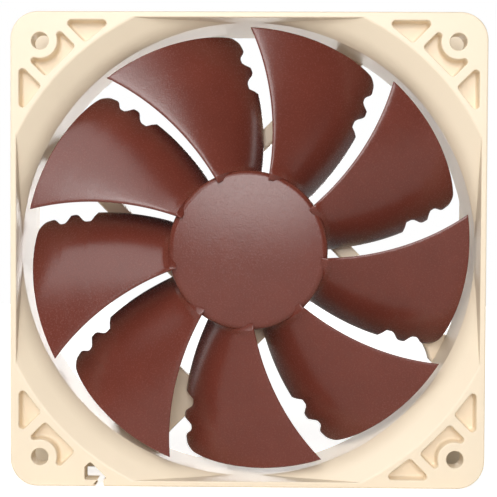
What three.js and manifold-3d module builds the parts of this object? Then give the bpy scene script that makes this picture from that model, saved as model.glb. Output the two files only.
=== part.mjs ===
// A 120 mm axial case fan: a one-piece square frame with its duct, struts and motor base, and a nine-bladed
// impeller driven by an external-rotor brushless motor.
// Millimetres. The fan stands on its lower edge, its axis along Y and its intake side towards -Y, with Z up.
// "Depth" is the distance behind the intake face; "plan" is the X-Z plane centred on the axis.
import * as THREE from "three";
import { mergeVertices } from "three/addons/utils/BufferGeometryUtils.js";
import Module from "manifold-3d";

const wasm = await Module();
wasm.setup();

// ---- Overall size ----
const SIDE = 120;
const DEPTH = 25;
const CORNER_R = 7;
const HOLE_INSET = 7.5;
const HOLE_R = 2.15;
const FLANGE_T = 4.6;

// ---- Duct ----
const WALL_T = 1.6;
const DUCT_R = SIDE / 2 - WALL_T;
const BARREL_INSET = 0.05;
const BARREL_R = SIDE / 2 - BARREL_INSET;
const MOUTH_FROM_HOLE = 9.046;
const MOUTH_PULL = [0.16, 0.62];
const INLET_DEPTH = 6.4;
const OUTLET_FLARE = 1.4;
const SIDE_WALL_FRONT = 1.56;
const SIDE_WALL_REAR = 2.0;

// ---- Pockets moulded into the intake flange ----
const POCKET_DEPTH = 3.4;
const POCKET_RIM = 2.2;
const POCKET_WALL = 1.3;
const MIDDLE_POCKET_WALL = 1.82;
const POCKET_ROUND = 0.9;
const BOSS_R = 4.4;
const POCKET_HALF = 5.35;
const POCKET_RIB = 2.45;
const NOTCH_CORNER = 2;
const NOTCH_MIDDLE = [13.4, -3.4];

// ---- Struts and motor base ----
const STRUT_T = 4.4;
const STRUT_W = 4.4;
const STRUT_INSET = 2.45;
const STRUT_START = 2;
const STRUT_GUSSET = 2.2;
const GUSSET_LENGTH = 7;
const HOOD_LENGTH = 20.35;
const HOOD_WIDTH = 6;
const STRUTS = 4;
const CABLE_STRUT = 3;
const BASE_PROUD = 0.2;
const BASE_WALL = 1.4;
const FLOOR_T = 1.2;
const LABEL_INSET = 4.4;
const LABEL_GAP = 0.3;
const LABEL_T = 0.3;
const LABEL_RECESS = LABEL_T + 0.1;
const POSTS = 3;
const POST_R = 1.2;
const POST_INSET = 3;
const POST_SINK = 0.2;
const WIRE_W = 3.0;
const WIRE_DEPTH = 2.4;
const CHANNEL_START = 4;

// ---- Impeller ----
const BLADES = 9;
const TIP_GAP = 1.9;
const TIP_R = DUCT_R - TIP_GAP;
const HUB_R = 20.4;
const HUB_ROUND = 1.5;
const HUB_SET_BACK = 1.8;
const HUB_FACE_T = 1.8;
const HUB_SKIN = 1.0;
const HUB_WALL = 1.75;
const HUB_BOSS_WALL = 1.75;
const HUB_BOSS_HEIGHT = 2.8;
const SKIRT_GAP = 1.7;
const BLADE_FRONT = 2.5;
const BLADE_GAP = 2.3;
const BLADE_SINK = 1.0;
const BLADE_T_ROOT = 2.0;
const BLADE_T_TIP = 1.4;
const EDGE_SHARE = 0.45;
const CAMBER = 0.3;
const HOOK = 0.3;
const HOOK_LENGTH = 0.12;
const ROOT_RISE = 0.8;
const ROOT_RISE_LENGTH = 1.5;
// Degrees at the hub, added evenly along the span, and added as the square of the span.
const LEADING_EDGE = [34.8, 12.6, 2.2];
const TRAILING_EDGE = [0.2, 7.4, 5.8];
// Two bites out of the trailing edge, as shares of the span and a depth in degrees.
const NOTCHES = [
  { start: 0.592, length: 0.165, cut: 3.1 },
  { start: 0.783, length: 0.135, cut: 2.3 },
];
const NOTCH_STEP = 0.13;
const NOTCH_FLAT = 0.3;
const TIP_ROUND = { start: 0.955, cut: 1.6 };

// ---- Bearing and shaft ----
const SHAFT_R = 1.5;
const RUNNING_GAP = 0.04;
const PRESS_GAP = 0.03;
const FIT_GAP = 0.05;
const BUSH_R = 3.4;
const SLEEVE_R = 3.5;
const TUBE_WALL = 0.75;
const TUBE_R = SLEEVE_R + FIT_GAP + TUBE_WALL;
const TUBE_FLOOR = 1.0;
const TUBE_BOSS_T = 1.3;
const THRUST_T = 0.75;
const GROOVE_DEPTH = 0.3;
const GROOVE_W = 0.6;
const LOCK_T = 0.3;
const LOCK_SLIT = 0.8;
const OIL_RING_T = 0.6;
const AXIAL_PLAY = 0.3;

// ---- Motor ----
const POLES = 4;
const YOKE_T = 0.8;
const YOKE_SET_BACK = 1.3;
const MAGNET_T = 2.15;
const AIR_GAP = 0.55;
const PCB_T = 1.0;
const PCB_GAP = 0.4;
const SOLDER_GAP = 1.0;
const STACK_T = 6.0;
const STACK_SHIFT = 0.4;
const POLE_HALF = 2.1;
const POLE_SPREAD = 36;
const SHOE_T = 2.2;
const SHOE_TIP_T = 1;
const SHOE_OVERHANG = 0.8;
const CORE_RING_T = 3.3;
const INSULATOR_T = 0.8;
const INSULATOR_SIDE = 0.35;
const INSULATOR_SET_BACK = 0.6;
const FLANGE_HALF = 5.1;
const EAR_W = 2.4;
const WINDING_T = 2.3;
const WINDING_END_T = 1.6;
const WINDING_GAP = 0.15;
const PIN_OUT = 1.7;
const PIN_SIZE = 0.6;
const PIN_PROUD = 0.5;

// ---- Components on the board ----
// Radial size, tangential size and height; how far out from the middle of the board's ring; angle in degrees.
const CHIP = { size: [3.9, 4.9, 1.4], angle: 180, standoff: 0.15, legs: 4, pitch: 1.27, legW: 0.42, legT: 0.35 };
const HALL = { size: [1.5, 4.0], angle: 22.5, magnetGap: 1.1 };
const SMALL_COMPONENTS = {
  capacitor: { size: [2.5, 3.2, 1.6], out: 0.8, angle: 98, finish: "ceramic" },
  diode: { size: [1.8, 3.6, 1.2], out: 1.0, angle: 286, finish: "epoxy" },
  resistor_1: { size: [1.25, 2.0, 0.55], out: 2.2, angle: 72, finish: "ceramic" },
  resistor_2: { size: [1.25, 2.0, 0.55], out: 2.2, angle: 250, finish: "ceramic" },
};

// ---- Places along the depth that follow from the sizes above ----
const BASE_FRONT = DEPTH - STRUT_T;
const FLOOR_REAR = DEPTH - LABEL_RECESS;
const FLOOR_FRONT = FLOOR_REAR - FLOOR_T;
const PCB_REAR = FLOOR_FRONT - SOLDER_GAP;
const PCB_FRONT = PCB_REAR - PCB_T;
const SKIRT_END = BASE_FRONT - SKIRT_GAP;
const HUB_INNER = HUB_SET_BACK + HUB_FACE_T;
const HUB_BOSS_END = HUB_INNER + HUB_BOSS_HEIGHT;
const YOKE_FRONT = HUB_INNER + 3 * FIT_GAP;
const YOKE_END = SKIRT_END - YOKE_SET_BACK;
const MAGNET_FRONT = YOKE_FRONT + 3 * YOKE_T;
const MAGNET_END = YOKE_END - 0.5 * YOKE_T;
const TUBE_FRONT = HUB_BOSS_END + 2 * AXIAL_PLAY;
const TUBE_END = FLOOR_REAR - LABEL_RECESS;
const OIL_RING_FRONT = TUBE_FRONT + 2 * AXIAL_PLAY;
const SLEEVE_FRONT = OIL_RING_FRONT + OIL_RING_T + AXIAL_PLAY;
const THRUST_REAR = TUBE_END - TUBE_FLOOR - FIT_GAP;
const THRUST_FRONT = THRUST_REAR - THRUST_T;
const SHAFT_END = THRUST_FRONT - FIT_GAP;
const GROOVE_END = SHAFT_END - THRUST_T;
const GROOVE_FRONT = GROOVE_END - GROOVE_W;
const SLEEVE_END = GROOVE_FRONT - AXIAL_PLAY;
const STACK_MID = (MAGNET_FRONT + MAGNET_END) / 2 + STACK_SHIFT;
const STACK_FRONT = STACK_MID - STACK_T / 2;
const STACK_END = STACK_MID + STACK_T / 2;

// ---- Radii that follow ----
const HOLE_FROM_AXIS = SIDE / 2 - HOLE_INSET;
const INLET_R = HOLE_FROM_AXIS * Math.SQRT2 - MOUTH_FROM_HOLE;
const INLET_FLARE = INLET_R - DUCT_R;
const BASE_R = HUB_R + BASE_PROUD;
const LABEL_R = BASE_R - LABEL_INSET;
const STRUT_OFFSET = BASE_R - STRUT_INSET;
const STRUT_REACH = Math.sqrt((DUCT_R + WALL_T / 2) ** 2 - STRUT_OFFSET ** 2);
const HUB_BORE_R = HUB_R - HUB_WALL;
const HUB_BOSS_R = BUSH_R + FIT_GAP + HUB_BOSS_WALL;
const YOKE_R = HUB_BORE_R - FIT_GAP;
const MAGNET_R = YOKE_R - YOKE_T - FIT_GAP;
const STATOR_R = MAGNET_R - MAGNET_T - AIR_GAP;
const BASE_BORE_R = BASE_R - BASE_WALL;
const PCB_R = BASE_BORE_R - PCB_GAP;
const TUBE_BOSS_R = TUBE_R + TUBE_BOSS_T;
const PCB_HOLE_R = TUBE_BOSS_R + PCB_GAP;
const BOARD_MID = (PCB_HOLE_R + PCB_R) / 2;
const CORE_RING_R = TUBE_R + CORE_RING_T;
const PIN_R = CORE_RING_R + PIN_OUT;
const COIL_START = CORE_RING_R + INSULATOR_T;
const COIL_END = STATOR_R - SHOE_T;

// ---- Facet counts ----
const ROUND_LARGE = 72;
const ROUND_HUB = 54;
const ROUND_MID = 40;
const ROUND_SMALL = 24;
const ROUND_SCREW = 20;
const ROUND_POST = 12;

const QUARTER = Math.PI / 2;
const degrees = THREE.MathUtils.degToRad;
const POCKET_FACING = degrees(51.6);
// How far a cutting solid runs past the face it cuts.
const OVER = 1;
const yOf = (depth) => depth - DEPTH / 2;

// ---------------------------------------------------------------- helpers

// A three.js geometry as a solid, turned inside out first if its faces point inwards.
function solid(geometry) {
  geometry.deleteAttribute("normal");
  geometry.deleteAttribute("uv");
  const merged = mergeVertices(geometry, 1e-4);
  const position = merged.attributes.position.array;
  const triangles = new Uint32Array(merged.index.array);
  const a = new THREE.Vector3();
  const b = new THREE.Vector3();
  const c = new THREE.Vector3();
  const kept = [];
  let volume = 0;
  for (let i = 0; i < triangles.length; i += 3) {
    const [p, q, r] = triangles.slice(i, i + 3);
    if (p === q || q === r || r === p) continue;
    kept.push(p, q, r);
    a.fromArray(position, 3 * p);
    b.fromArray(position, 3 * q);
    c.fromArray(position, 3 * r);
    volume += a.dot(b.cross(c));
  }
  if (volume < 0) kept.reverse();
  return new wasm.Manifold(
    new wasm.Mesh({ numProp: 3, vertProperties: position, triVerts: new Uint32Array(kept) }),
  );
}

// A solid back as a three.js geometry.
function surfaceOf(body) {
  const mesh = body.getMesh();
  const geometry = new THREE.BufferGeometry();
  geometry.setAttribute("position", new THREE.BufferAttribute(new Float32Array(mesh.vertProperties), 3));
  geometry.setIndex(new THREE.BufferAttribute(new Uint32Array(mesh.triVerts), 1));
  return geometry;
}

// A plan outline made solid between two depths.
function plate(shape, front, rear, curveSegments = 8) {
  const geometry = new THREE.ExtrudeGeometry(shape, {
    depth: rear - front,
    bevelEnabled: false,
    curveSegments,
  });
  return solid(geometry.rotateX(QUARTER).translate(0, yOf(rear), 0));
}

// A profile of [radius, depth] pairs spun about the fan's axis.
function turned(profile, segments) {
  const points = profile.map(([radius, depth]) => new THREE.Vector2(radius, yOf(depth)));
  return solid(new THREE.LatheGeometry(points, segments));
}

// A ring of rectangular section.
function ring(inner, outer, front, rear, segments) {
  const profile = [
    [inner, front],
    [outer, front],
    [outer, rear],
    [inner, rear],
    [inner, front],
  ];
  return turned(profile, segments);
}

// A full disc.
function disc(radius, front, rear, segments) {
  const profile = [
    [0, front],
    [radius, front],
    [radius, rear],
    [0, rear],
  ];
  return turned(profile, segments);
}

// A cylinder parallel to the axis whose centre stands at (x, z) in plan.
function peg(radius, x, z, front, rear, segments) {
  const geometry = new THREE.CylinderGeometry(radius, radius, rear - front, segments);
  return solid(geometry.translate(x, yOf((front + rear) / 2), z));
}

// A block centred at (x, z) in plan, between two depths, turned by an angle seen from the intake side.
function block(sizeX, sizeZ, x, z, front, rear, angle = 0) {
  const geometry = new THREE.BoxGeometry(sizeX, rear - front, sizeZ);
  geometry.translate(x, yOf((front + rear) / 2), z).rotateY(-angle);
  return solid(geometry);
}

// A solid turned about the fan's axis, counter-clockwise seen from the intake side.
function spun(body, angle) {
  return solid(surfaceOf(body).rotateY(-angle));
}

function union(bodies) {
  return bodies.reduce((sum, body) => sum.add(body));
}

// A closed plan outline through [x, z, radius] corners, each rounded by its own radius.
function outline(corners) {
  const shape = new THREE.Shape();
  const count = corners.length;
  const point = ([x, z]) => new THREE.Vector2(x, z);
  for (let i = 0; i < count; i++) {
    const corner = point(corners[i]);
    const radius = corners[i][2] ?? 0;
    const back = point(corners[(i + count - 1) % count]).sub(corner).normalize();
    const ahead = point(corners[(i + 1) % count]).sub(corner).normalize();
    if (radius === 0) {
      if (i === 0) shape.moveTo(corner.x, corner.y);
      else shape.lineTo(corner.x, corner.y);
      continue;
    }
    const half = Math.acos(THREE.MathUtils.clamp(back.dot(ahead), -1, 1)) / 2;
    const reach = radius / Math.tan(half);
    const centre = back.clone().add(ahead).normalize().multiplyScalar(radius / Math.sin(half)).add(corner);
    const from = back.multiplyScalar(reach).add(corner);
    const to = ahead.multiplyScalar(reach).add(corner);
    const start = from.clone().sub(centre).angle();
    const end = to.clone().sub(centre).angle();
    const leftTurn = (corner.x - from.x) * (to.y - from.y) - (corner.y - from.y) * (to.x - from.x) > 0;
    if (i === 0) shape.moveTo(from.x, from.y);
    else shape.lineTo(from.x, from.y);
    shape.absarc(centre.x, centre.y, radius, start, end, !leftTurn);
  }
  shape.closePath();
  return shape;
}

function roundedSquare(half, radius) {
  return outline([
    [-half, -half, radius],
    [half, -half, radius],
    [half, half, radius],
    [-half, half, radius],
  ]);
}

// ---------------------------------------------------------------- frame

// The air passage: a bellmouth in the corners of the intake side, a straight duct, and a small outlet flare,
// all held inside flat walls that taper along the four sides.
function airPassage() {
  const mouth = new THREE.QuadraticBezierCurve(
    new THREE.Vector2(INLET_R, 0),
    new THREE.Vector2(DUCT_R + MOUTH_PULL[0] * INLET_FLARE, MOUTH_PULL[1] * INLET_DEPTH),
    new THREE.Vector2(DUCT_R, INLET_DEPTH),
  );
  const profile = [
    [0, -OVER],
    [INLET_R, -OVER],
    ...mouth.getPoints(4).map((p) => [p.x, p.y]),
    [DUCT_R, DEPTH - FLANGE_T - OVER],
    [DUCT_R + OUTLET_FLARE, DEPTH],
    [DUCT_R + OUTLET_FLARE, DEPTH + OVER],
    [0, DEPTH + OVER],
  ];
  const halfFront = SIDE / 2 - SIDE_WALL_FRONT;
  const halfRear = SIDE / 2 - SIDE_WALL_REAR;
  const taper = (halfRear - halfFront) / DEPTH;
  const diagonal = Math.SQRT2;
  const prism = new THREE.CylinderGeometry(
    (halfRear + taper * OVER) * diagonal,
    (halfFront - taper * OVER) * diagonal,
    DEPTH + 2 * OVER,
    4,
  );
  prism.rotateY(Math.PI / 4);
  return turned(profile, ROUND_LARGE).intersect(solid(prism));
}

// Plan coordinates of a point given from the screw hole of the corner at (+, +):
// u runs inwards along X, w inwards along Z.
function fromHole(u, w) {
  return [HOLE_FROM_AXIS - u, HOLE_FROM_AXIS - w];
}

// The pocket beside the screw boss: a band across the corner's diagonal with the boss left standing.
function middlePocket() {
  const near = HOLE_FROM_AXIS * Math.SQRT2 - (INLET_R + MIDDLE_POCKET_WALL);
  const far = BOSS_R / 2;
  const corner = (s, t) => [...fromHole((s + t) / Math.SQRT2, (s - t) / Math.SQRT2), POCKET_ROUND];
  const band = outline([
    corner(far, POCKET_HALF),
    corner(near, POCKET_HALF),
    corner(near, -POCKET_HALF),
    corner(far, -POCKET_HALF),
  ]);
  const [x, z] = fromHole(0, 0);
  const boss = peg(BOSS_R, x, z, -OVER, POCKET_DEPTH + OVER, ROUND_SMALL);
  return plate(band, -OVER, POCKET_DEPTH, 4).subtract(boss);
}

// The three-sided pocket beside it, between the rib, the outer rim and the bellmouth.
// It is drawn along the top side; the other one of the pair is its mirror image in the diagonal.
function sidePocket(mirrored) {
  const rib = (POCKET_HALF + POCKET_RIB) * Math.SQRT2;
  const rim = POCKET_RIM - HOLE_INSET;
  const wallR = INLET_R + POCKET_WALL;
  const across = Math.cos(POCKET_FACING);
  const up = Math.sin(POCKET_FACING);
  const reach = (w) => HOLE_FROM_AXIS - (wallR - (HOLE_FROM_AXIS - w) * up) / across;
  const apex = HOLE_FROM_AXIS - (wallR + rib * across) / (across + up);
  const corners = [
    [rib + rim, rim],
    [reach(rim), rim],
    [rib + apex, apex],
  ];
  const placed = corners.map(([u, w]) => [...(mirrored ? fromHole(w, u) : fromHole(u, w)), POCKET_ROUND]);
  return plate(outline(placed), -OVER, POCKET_DEPTH, 4);
}

// All pockets; the corner that carries the cable notch gives up the pocket along its lower side.
function pockets() {
  const cut = [];
  for (let corner = 0; corner < 4; corner++) {
    const angle = corner * QUARTER;
    cut.push(spun(middlePocket(), angle), spun(sidePocket(true), angle));
    if (corner !== NOTCH_CORNER) cut.push(spun(sidePocket(false), angle));
  }
  return union(cut);
}

// The hooked notch that lets the cable out through the lower side of both flanges.
function cableNotch() {
  const mouth = -HOLE_INSET - OVER;
  const points = [
    [11.4, -5.8, 0.3],
    [11.4, -2.5, 0.3],
    [12.8, -1.2, 0.3],
    [17.0, -5.3, 0.3],
    [16.1, -5.9, 0.3],
    [16.4, mouth],
    [13.5, mouth],
    [15.1, -5.2, 0.3],
    [14.6, -5.8, 0.2],
  ];
  const placed = points.map(([u, w, radius]) => [u - HOLE_FROM_AXIS, w - HOLE_FROM_AXIS, radius]);
  return plate(outline(placed), -OVER, DEPTH + OVER, 2);
}

// A point beside a strut's centre line, which runs straight and passes the axis at STRUT_OFFSET.
function strutPoint(along, across) {
  const offset = STRUT_OFFSET + across;
  return [(along + offset) * Math.SQRT1_2, (offset - along) * Math.SQRT1_2];
}

// A bar along the strut line between two sideways limits, splayed where it meets the duct wall. Its inner side runs
// on to the middle of that wall.
function strutBar(from, low, high) {
  const steps = 4;
  const outer = [strutPoint(from, high)];
  const inner = [strutPoint(from, low)];
  for (let i = 0; i <= steps; i++) {
    const along = STRUT_REACH - GUSSET_LENGTH * (1 - i / steps);
    const splay = STRUT_GUSSET * (i / steps) ** 2;
    outer.unshift(strutPoint(along, high + splay));
    inner.push(strutPoint(along, low - splay));
  }
  const edge = low - STRUT_GUSSET;
  inner.push(strutPoint(Math.sqrt((DUCT_R + WALL_T / 2) ** 2 - (STRUT_OFFSET + edge) ** 2), edge));
  return plate(outline([...inner, ...outer]), BASE_FRONT, DEPTH);
}

const strutAngle = (k) => (k * Math.PI * 2) / STRUTS;

// Four struts; the one beside the cable notch widens into a hood over the wires.
function struts() {
  const half = STRUT_W / 2;
  const bars = [];
  for (let k = 0; k < STRUTS; k++) bars.push(spun(strutBar(STRUT_START, -half, half), strutAngle(k)));
  const hood = strutBar(STRUT_REACH - HOOD_LENGTH, -half - HOOD_WIDTH, half);
  bars.push(spun(hood, strutAngle(CABLE_STRUT)));
  return union(bars);
}

// The channel for the wires: out of the motor base, along the wide strut, and across to the notch.
function wireChannel() {
  const angle = strutAngle(CABLE_STRUT);
  const front = DEPTH - WIRE_DEPTH;
  const half = WIRE_W / 2;
  const corner = STRUT_REACH - WIRE_W;
  const run = outline([
    strutPoint(CHANNEL_START, -half),
    strutPoint(corner, -half),
    strutPoint(corner, half),
    strutPoint(CHANNEL_START, half),
  ]);
  const [x, z] = strutPoint(corner - half, 0);
  const start = new THREE.Vector2(x, z).rotateAround(new THREE.Vector2(), angle);
  const stop = new THREE.Vector2(NOTCH_MIDDLE[0], NOTCH_MIDDLE[1]).subScalar(HOLE_FROM_AXIS);
  const ahead = stop.clone().sub(start).normalize();
  const beside = (end, side) => [end.x - side * ahead.y, end.y + side * ahead.x];
  const cross = outline([beside(start, half), beside(start, -half), beside(stop, -half), beside(stop, half)]);
  return spun(plate(run, front, DEPTH + OVER), angle).add(plate(cross, front, DEPTH + OVER));
}

// The motor base: a shallow cup with a boss for the bearing tube and posts for the circuit board.
function motorBase() {
  const cup = disc(BASE_R, BASE_FRONT, DEPTH, ROUND_LARGE)
    .subtract(disc(BASE_BORE_R, BASE_FRONT - OVER, FLOOR_FRONT, ROUND_LARGE))
    .add(disc(TUBE_BOSS_R, BASE_FRONT, FLOOR_REAR, ROUND_SMALL));
  const posts = [];
  for (let k = 0; k < POSTS; k++) {
    const angle = QUARTER + (k * Math.PI * 2) / POSTS;
    const [x, z] = [(PCB_R - POST_INSET) * Math.cos(angle), (PCB_R - POST_INSET) * Math.sin(angle)];
    posts.push(peg(POST_R, x, z, PCB_REAR + FIT_GAP, FLOOR_REAR - POST_SINK, ROUND_POST));
  }
  return union([cup, ...posts])
    .subtract(disc(TUBE_R + FIT_GAP, 0, DEPTH + OVER, ROUND_SMALL))
    .subtract(disc(LABEL_R + LABEL_GAP, FLOOR_REAR, DEPTH + OVER, ROUND_LARGE));
}

function frame() {
  const square = roundedSquare(SIDE / 2, CORNER_R);
  const shell = union([
    plate(square, 0, FLANGE_T, 6),
    plate(square, DEPTH - FLANGE_T, DEPTH, 6),
    disc(BARREL_R, 0, DEPTH, ROUND_LARGE),
  ]).subtract(airPassage());
  const screws = [];
  for (let corner = 0; corner < 4; corner++) {
    const screw = peg(HOLE_R, HOLE_FROM_AXIS, HOLE_FROM_AXIS, -OVER, DEPTH + OVER, ROUND_SCREW);
    screws.push(spun(screw, corner * QUARTER));
  }
  const baseHollow = disc(BASE_BORE_R, BASE_FRONT - OVER, FLOOR_FRONT, ROUND_LARGE)
    .add(disc(LABEL_R + LABEL_GAP, FLOOR_REAR, DEPTH + OVER, ROUND_LARGE))
    .add(disc(TUBE_R, 0, DEPTH + OVER, ROUND_SMALL));
  return shell
    .add(struts().subtract(baseHollow))
    .add(motorBase())
    .subtract(union([...screws, pockets(), cableNotch(), wireChannel()]));
}

// ---------------------------------------------------------------- impeller

// Angles in degrees, counter-clockwise seen from the intake side, of a blade's two edges at a radius.
const spanOf = (radius) => (radius - HUB_R) / (TIP_R - HUB_R);
const edgeAngle = ([root, slope, bend], radius) => root + slope * spanOf(radius) + bend * spanOf(radius) ** 2;
const leadingAngle = (radius) => edgeAngle(LEADING_EDGE, radius);
const trailingAngle = (radius) => edgeAngle(TRAILING_EDGE, radius);

// How far the trailing edge is cut back: each notch starts as a square step and runs out in a slow slope, and
// the corner at the tip is rounded off.
function notchAngle(radius) {
  const span = spanOf(radius);
  let cut = 0;
  for (const notch of NOTCHES) {
    const t = (span - notch.start) / notch.length;
    if (t <= 0 || t >= 1) continue;
    const rise = Math.min(1, t / NOTCH_STEP);
    const fall = 0.5 + 0.5 * Math.cos((Math.PI * Math.max(0, t - NOTCH_FLAT)) / (1 - NOTCH_FLAT));
    cut += notch.cut * rise * fall;
  }
  const tipRound = Math.max(0, (span - TIP_ROUND.start) / (1 - TIP_ROUND.start));
  return cut + TIP_ROUND.cut * tipRound ** 2;
}

// The blade's mean surface: chord 0 is the trailing edge, deep in the duct, and chord 1 the leading edge.
// The pitch eases off towards the leading edge, and close to the trailing edge the blade hooks back steeply.
function bladePoint(radius, chord) {
  const rear = BASE_FRONT - BLADE_GAP;
  const rootRise = ROOT_RISE * Math.exp(-Math.max(0, radius - HUB_R) / ROOT_RISE_LENGTH);
  const front = BLADE_FRONT - rootRise;
  const hooked = HOOK * (1 - Math.exp(-chord / HOOK_LENGTH));
  const rise = chord + (CAMBER * chord + hooked) * (1 - chord);
  const depth = rear - (rear - front) * rise;
  const trailing = trailingAngle(radius);
  const angle = degrees(trailing + (leadingAngle(radius) - trailing) * chord);
  return new THREE.Vector3(radius * Math.cos(angle), yOf(depth), radius * Math.sin(angle));
}

// Shares of the span at which a blade's section is drawn, closer together where the notches turn.
const BLADE_STATIONS = [
  0, 0.06, 0.18, 0.32, 0.46, 0.592, 0.613, 0.642, 0.69, 0.73, 0.783, 0.801, 0.824, 0.87, 0.915, 0.96, 1,
];
const CHORD_STEPS = 5;
// Steps are bunched towards the trailing edge by this power.
const CHORD_BUNCH = 1.5;

// One blade as a closed skin: the two faces of the thickened mean surface and the strip round its edge.
function blade() {
  const root = HUB_R - BLADE_SINK;
  const radii = BLADE_STATIONS.map((s) => (s === 0 ? root : HUB_R + (TIP_R - HUB_R) * s));
  const step = 0.02;
  const faces = { up: [], down: [] };
  for (const radius of radii) {
    const width = leadingAngle(radius) - trailingAngle(radius);
    const first = notchAngle(radius) / width;
    for (let j = 0; j <= CHORD_STEPS; j++) {
      const share = (j / CHORD_STEPS) ** CHORD_BUNCH;
      const chord = first + (1 - first) * share;
      const here = bladePoint(radius, chord);
      const along = bladePoint(radius + step, chord).sub(bladePoint(radius - step, chord));
      const across = bladePoint(radius, chord + step).sub(bladePoint(radius, chord - step));
      const normal = along.cross(across).normalize();
      const full = THREE.MathUtils.lerp(BLADE_T_ROOT, BLADE_T_TIP, Math.max(0, spanOf(radius)));
      const thick = full * (EDGE_SHARE + (1 - EDGE_SHARE) * Math.sin(Math.PI * share));
      faces.up.push(here.clone().addScaledVector(normal, thick / 2));
      faces.down.push(here.clone().addScaledVector(normal, -thick / 2));
    }
  }
  const points = [...faces.up, ...faces.down];
  const columns = CHORD_STEPS + 1;
  const last = radii.length - 1;
  const other = faces.up.length;
  const at = (i, j, side) => side * other + i * columns + j;
  const triangles = [];
  const quad = (a, b, c, d) => triangles.push(a, b, c, a, c, d);
  for (let i = 0; i < last; i++) {
    for (let j = 0; j < CHORD_STEPS; j++) {
      quad(at(i, j, 0), at(i + 1, j, 0), at(i + 1, j + 1, 0), at(i, j + 1, 0));
      quad(at(i, j, 1), at(i, j + 1, 1), at(i + 1, j + 1, 1), at(i + 1, j, 1));
    }
    quad(at(i, 0, 0), at(i, 0, 1), at(i + 1, 0, 1), at(i + 1, 0, 0));
    quad(at(i, CHORD_STEPS, 0), at(i + 1, CHORD_STEPS, 0), at(i + 1, CHORD_STEPS, 1), at(i, CHORD_STEPS, 1));
  }
  for (let j = 0; j < CHORD_STEPS; j++) {
    quad(at(0, j, 0), at(0, j + 1, 0), at(0, j + 1, 1), at(0, j, 1));
    quad(at(last, j, 0), at(last, j, 1), at(last, j + 1, 1), at(last, j + 1, 0));
  }
  const geometry = new THREE.BufferGeometry().setFromPoints(points);
  geometry.setIndex(triangles);
  return solid(geometry);
}

function impeller() {
  const shoulder = [];
  const roundSteps = 4;
  for (let i = 0; i <= roundSteps; i++) {
    const angle = (QUARTER * i) / roundSteps;
    const radius = HUB_R - HUB_ROUND + HUB_ROUND * Math.sin(angle);
    shoulder.push([radius, HUB_SET_BACK + HUB_ROUND - HUB_ROUND * Math.cos(angle)]);
  }
  const hub = turned(
    [
      [0, HUB_SET_BACK],
      ...shoulder,
      [HUB_R, SKIRT_END],
      [HUB_BORE_R, SKIRT_END],
      [HUB_BORE_R, HUB_INNER],
      [HUB_BOSS_R, HUB_INNER],
      [HUB_BOSS_R, HUB_BOSS_END],
      [BUSH_R + FIT_GAP, HUB_BOSS_END],
      [BUSH_R + FIT_GAP, HUB_SET_BACK + HUB_SKIN],
      [0, HUB_SET_BACK + HUB_SKIN],
    ],
    ROUND_HUB,
  );
  const one = blade();
  const blades = [];
  for (let k = 0; k < BLADES; k++) blades.push(spun(one, (k * Math.PI * 2) / BLADES));
  return union([hub, ...blades]);
}

// ---------------------------------------------------------------- rotor

function rotorYoke() {
  const eye = HUB_BOSS_R + 3 * FIT_GAP;
  const outerBend = 1.0;
  const innerBend = 0.4;
  const profile = [
    [eye, YOKE_FRONT],
    [YOKE_R - outerBend, YOKE_FRONT],
    [YOKE_R, YOKE_FRONT + outerBend],
    [YOKE_R, YOKE_END],
    [YOKE_R - YOKE_T, YOKE_END],
    [YOKE_R - YOKE_T, YOKE_FRONT + YOKE_T + innerBend],
    [YOKE_R - YOKE_T - innerBend, YOKE_FRONT + YOKE_T],
    [eye, YOKE_FRONT + YOKE_T],
    [eye, YOKE_FRONT],
  ];
  return turned(profile, ROUND_MID);
}

function ringMagnet() {
  return ring(MAGNET_R - MAGNET_T, MAGNET_R, MAGNET_FRONT, MAGNET_END, ROUND_MID);
}

function shaftBush() {
  return ring(SHAFT_R + PRESS_GAP, BUSH_R, HUB_SET_BACK + HUB_SKIN + FIT_GAP, HUB_BOSS_END, ROUND_SMALL);
}

function shaft() {
  const start = HUB_SET_BACK + HUB_SKIN + FIT_GAP;
  const grooveR = SHAFT_R - GROOVE_DEPTH;
  const tip = SHAFT_R / 2;
  const chamfer = 0.4;
  const crown = 0.1;
  const profile = [
    [0, start],
    [SHAFT_R, start],
    [SHAFT_R, GROOVE_FRONT],
    [grooveR, GROOVE_FRONT],
    [grooveR, GROOVE_END],
    [SHAFT_R, GROOVE_END],
    [SHAFT_R, SHAFT_END - chamfer],
    [tip, SHAFT_END - crown],
    [0, SHAFT_END],
  ];
  return turned(profile, ROUND_SMALL);
}

function oilRing() {
  const rear = OIL_RING_FRONT + OIL_RING_T;
  return ring(SHAFT_R + PRESS_GAP, SLEEVE_R - AXIAL_PLAY, OIL_RING_FRONT, rear, ROUND_SMALL);
}

function lockRing() {
  const inner = SHAFT_R - GROOVE_DEPTH + FIT_GAP;
  const front = (GROOVE_FRONT + GROOVE_END - LOCK_T) / 2;
  const body = ring(inner, SLEEVE_R - AXIAL_PLAY, front, front + LOCK_T, ROUND_SMALL);
  const slit = block(SLEEVE_R, LOCK_SLIT, SLEEVE_R / 2, 0, GROOVE_FRONT, GROOVE_END);
  return body.subtract(slit);
}

// ---------------------------------------------------------------- bearing

function bearingTube() {
  const inner = SLEEVE_R + FIT_GAP;
  const profile = [
    [0, TUBE_END - TUBE_FLOOR],
    [inner, TUBE_END - TUBE_FLOOR],
    [inner, TUBE_FRONT],
    [TUBE_R, TUBE_FRONT],
    [TUBE_R, TUBE_END],
    [0, TUBE_END],
  ];
  return turned(profile, ROUND_SMALL);
}

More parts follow.
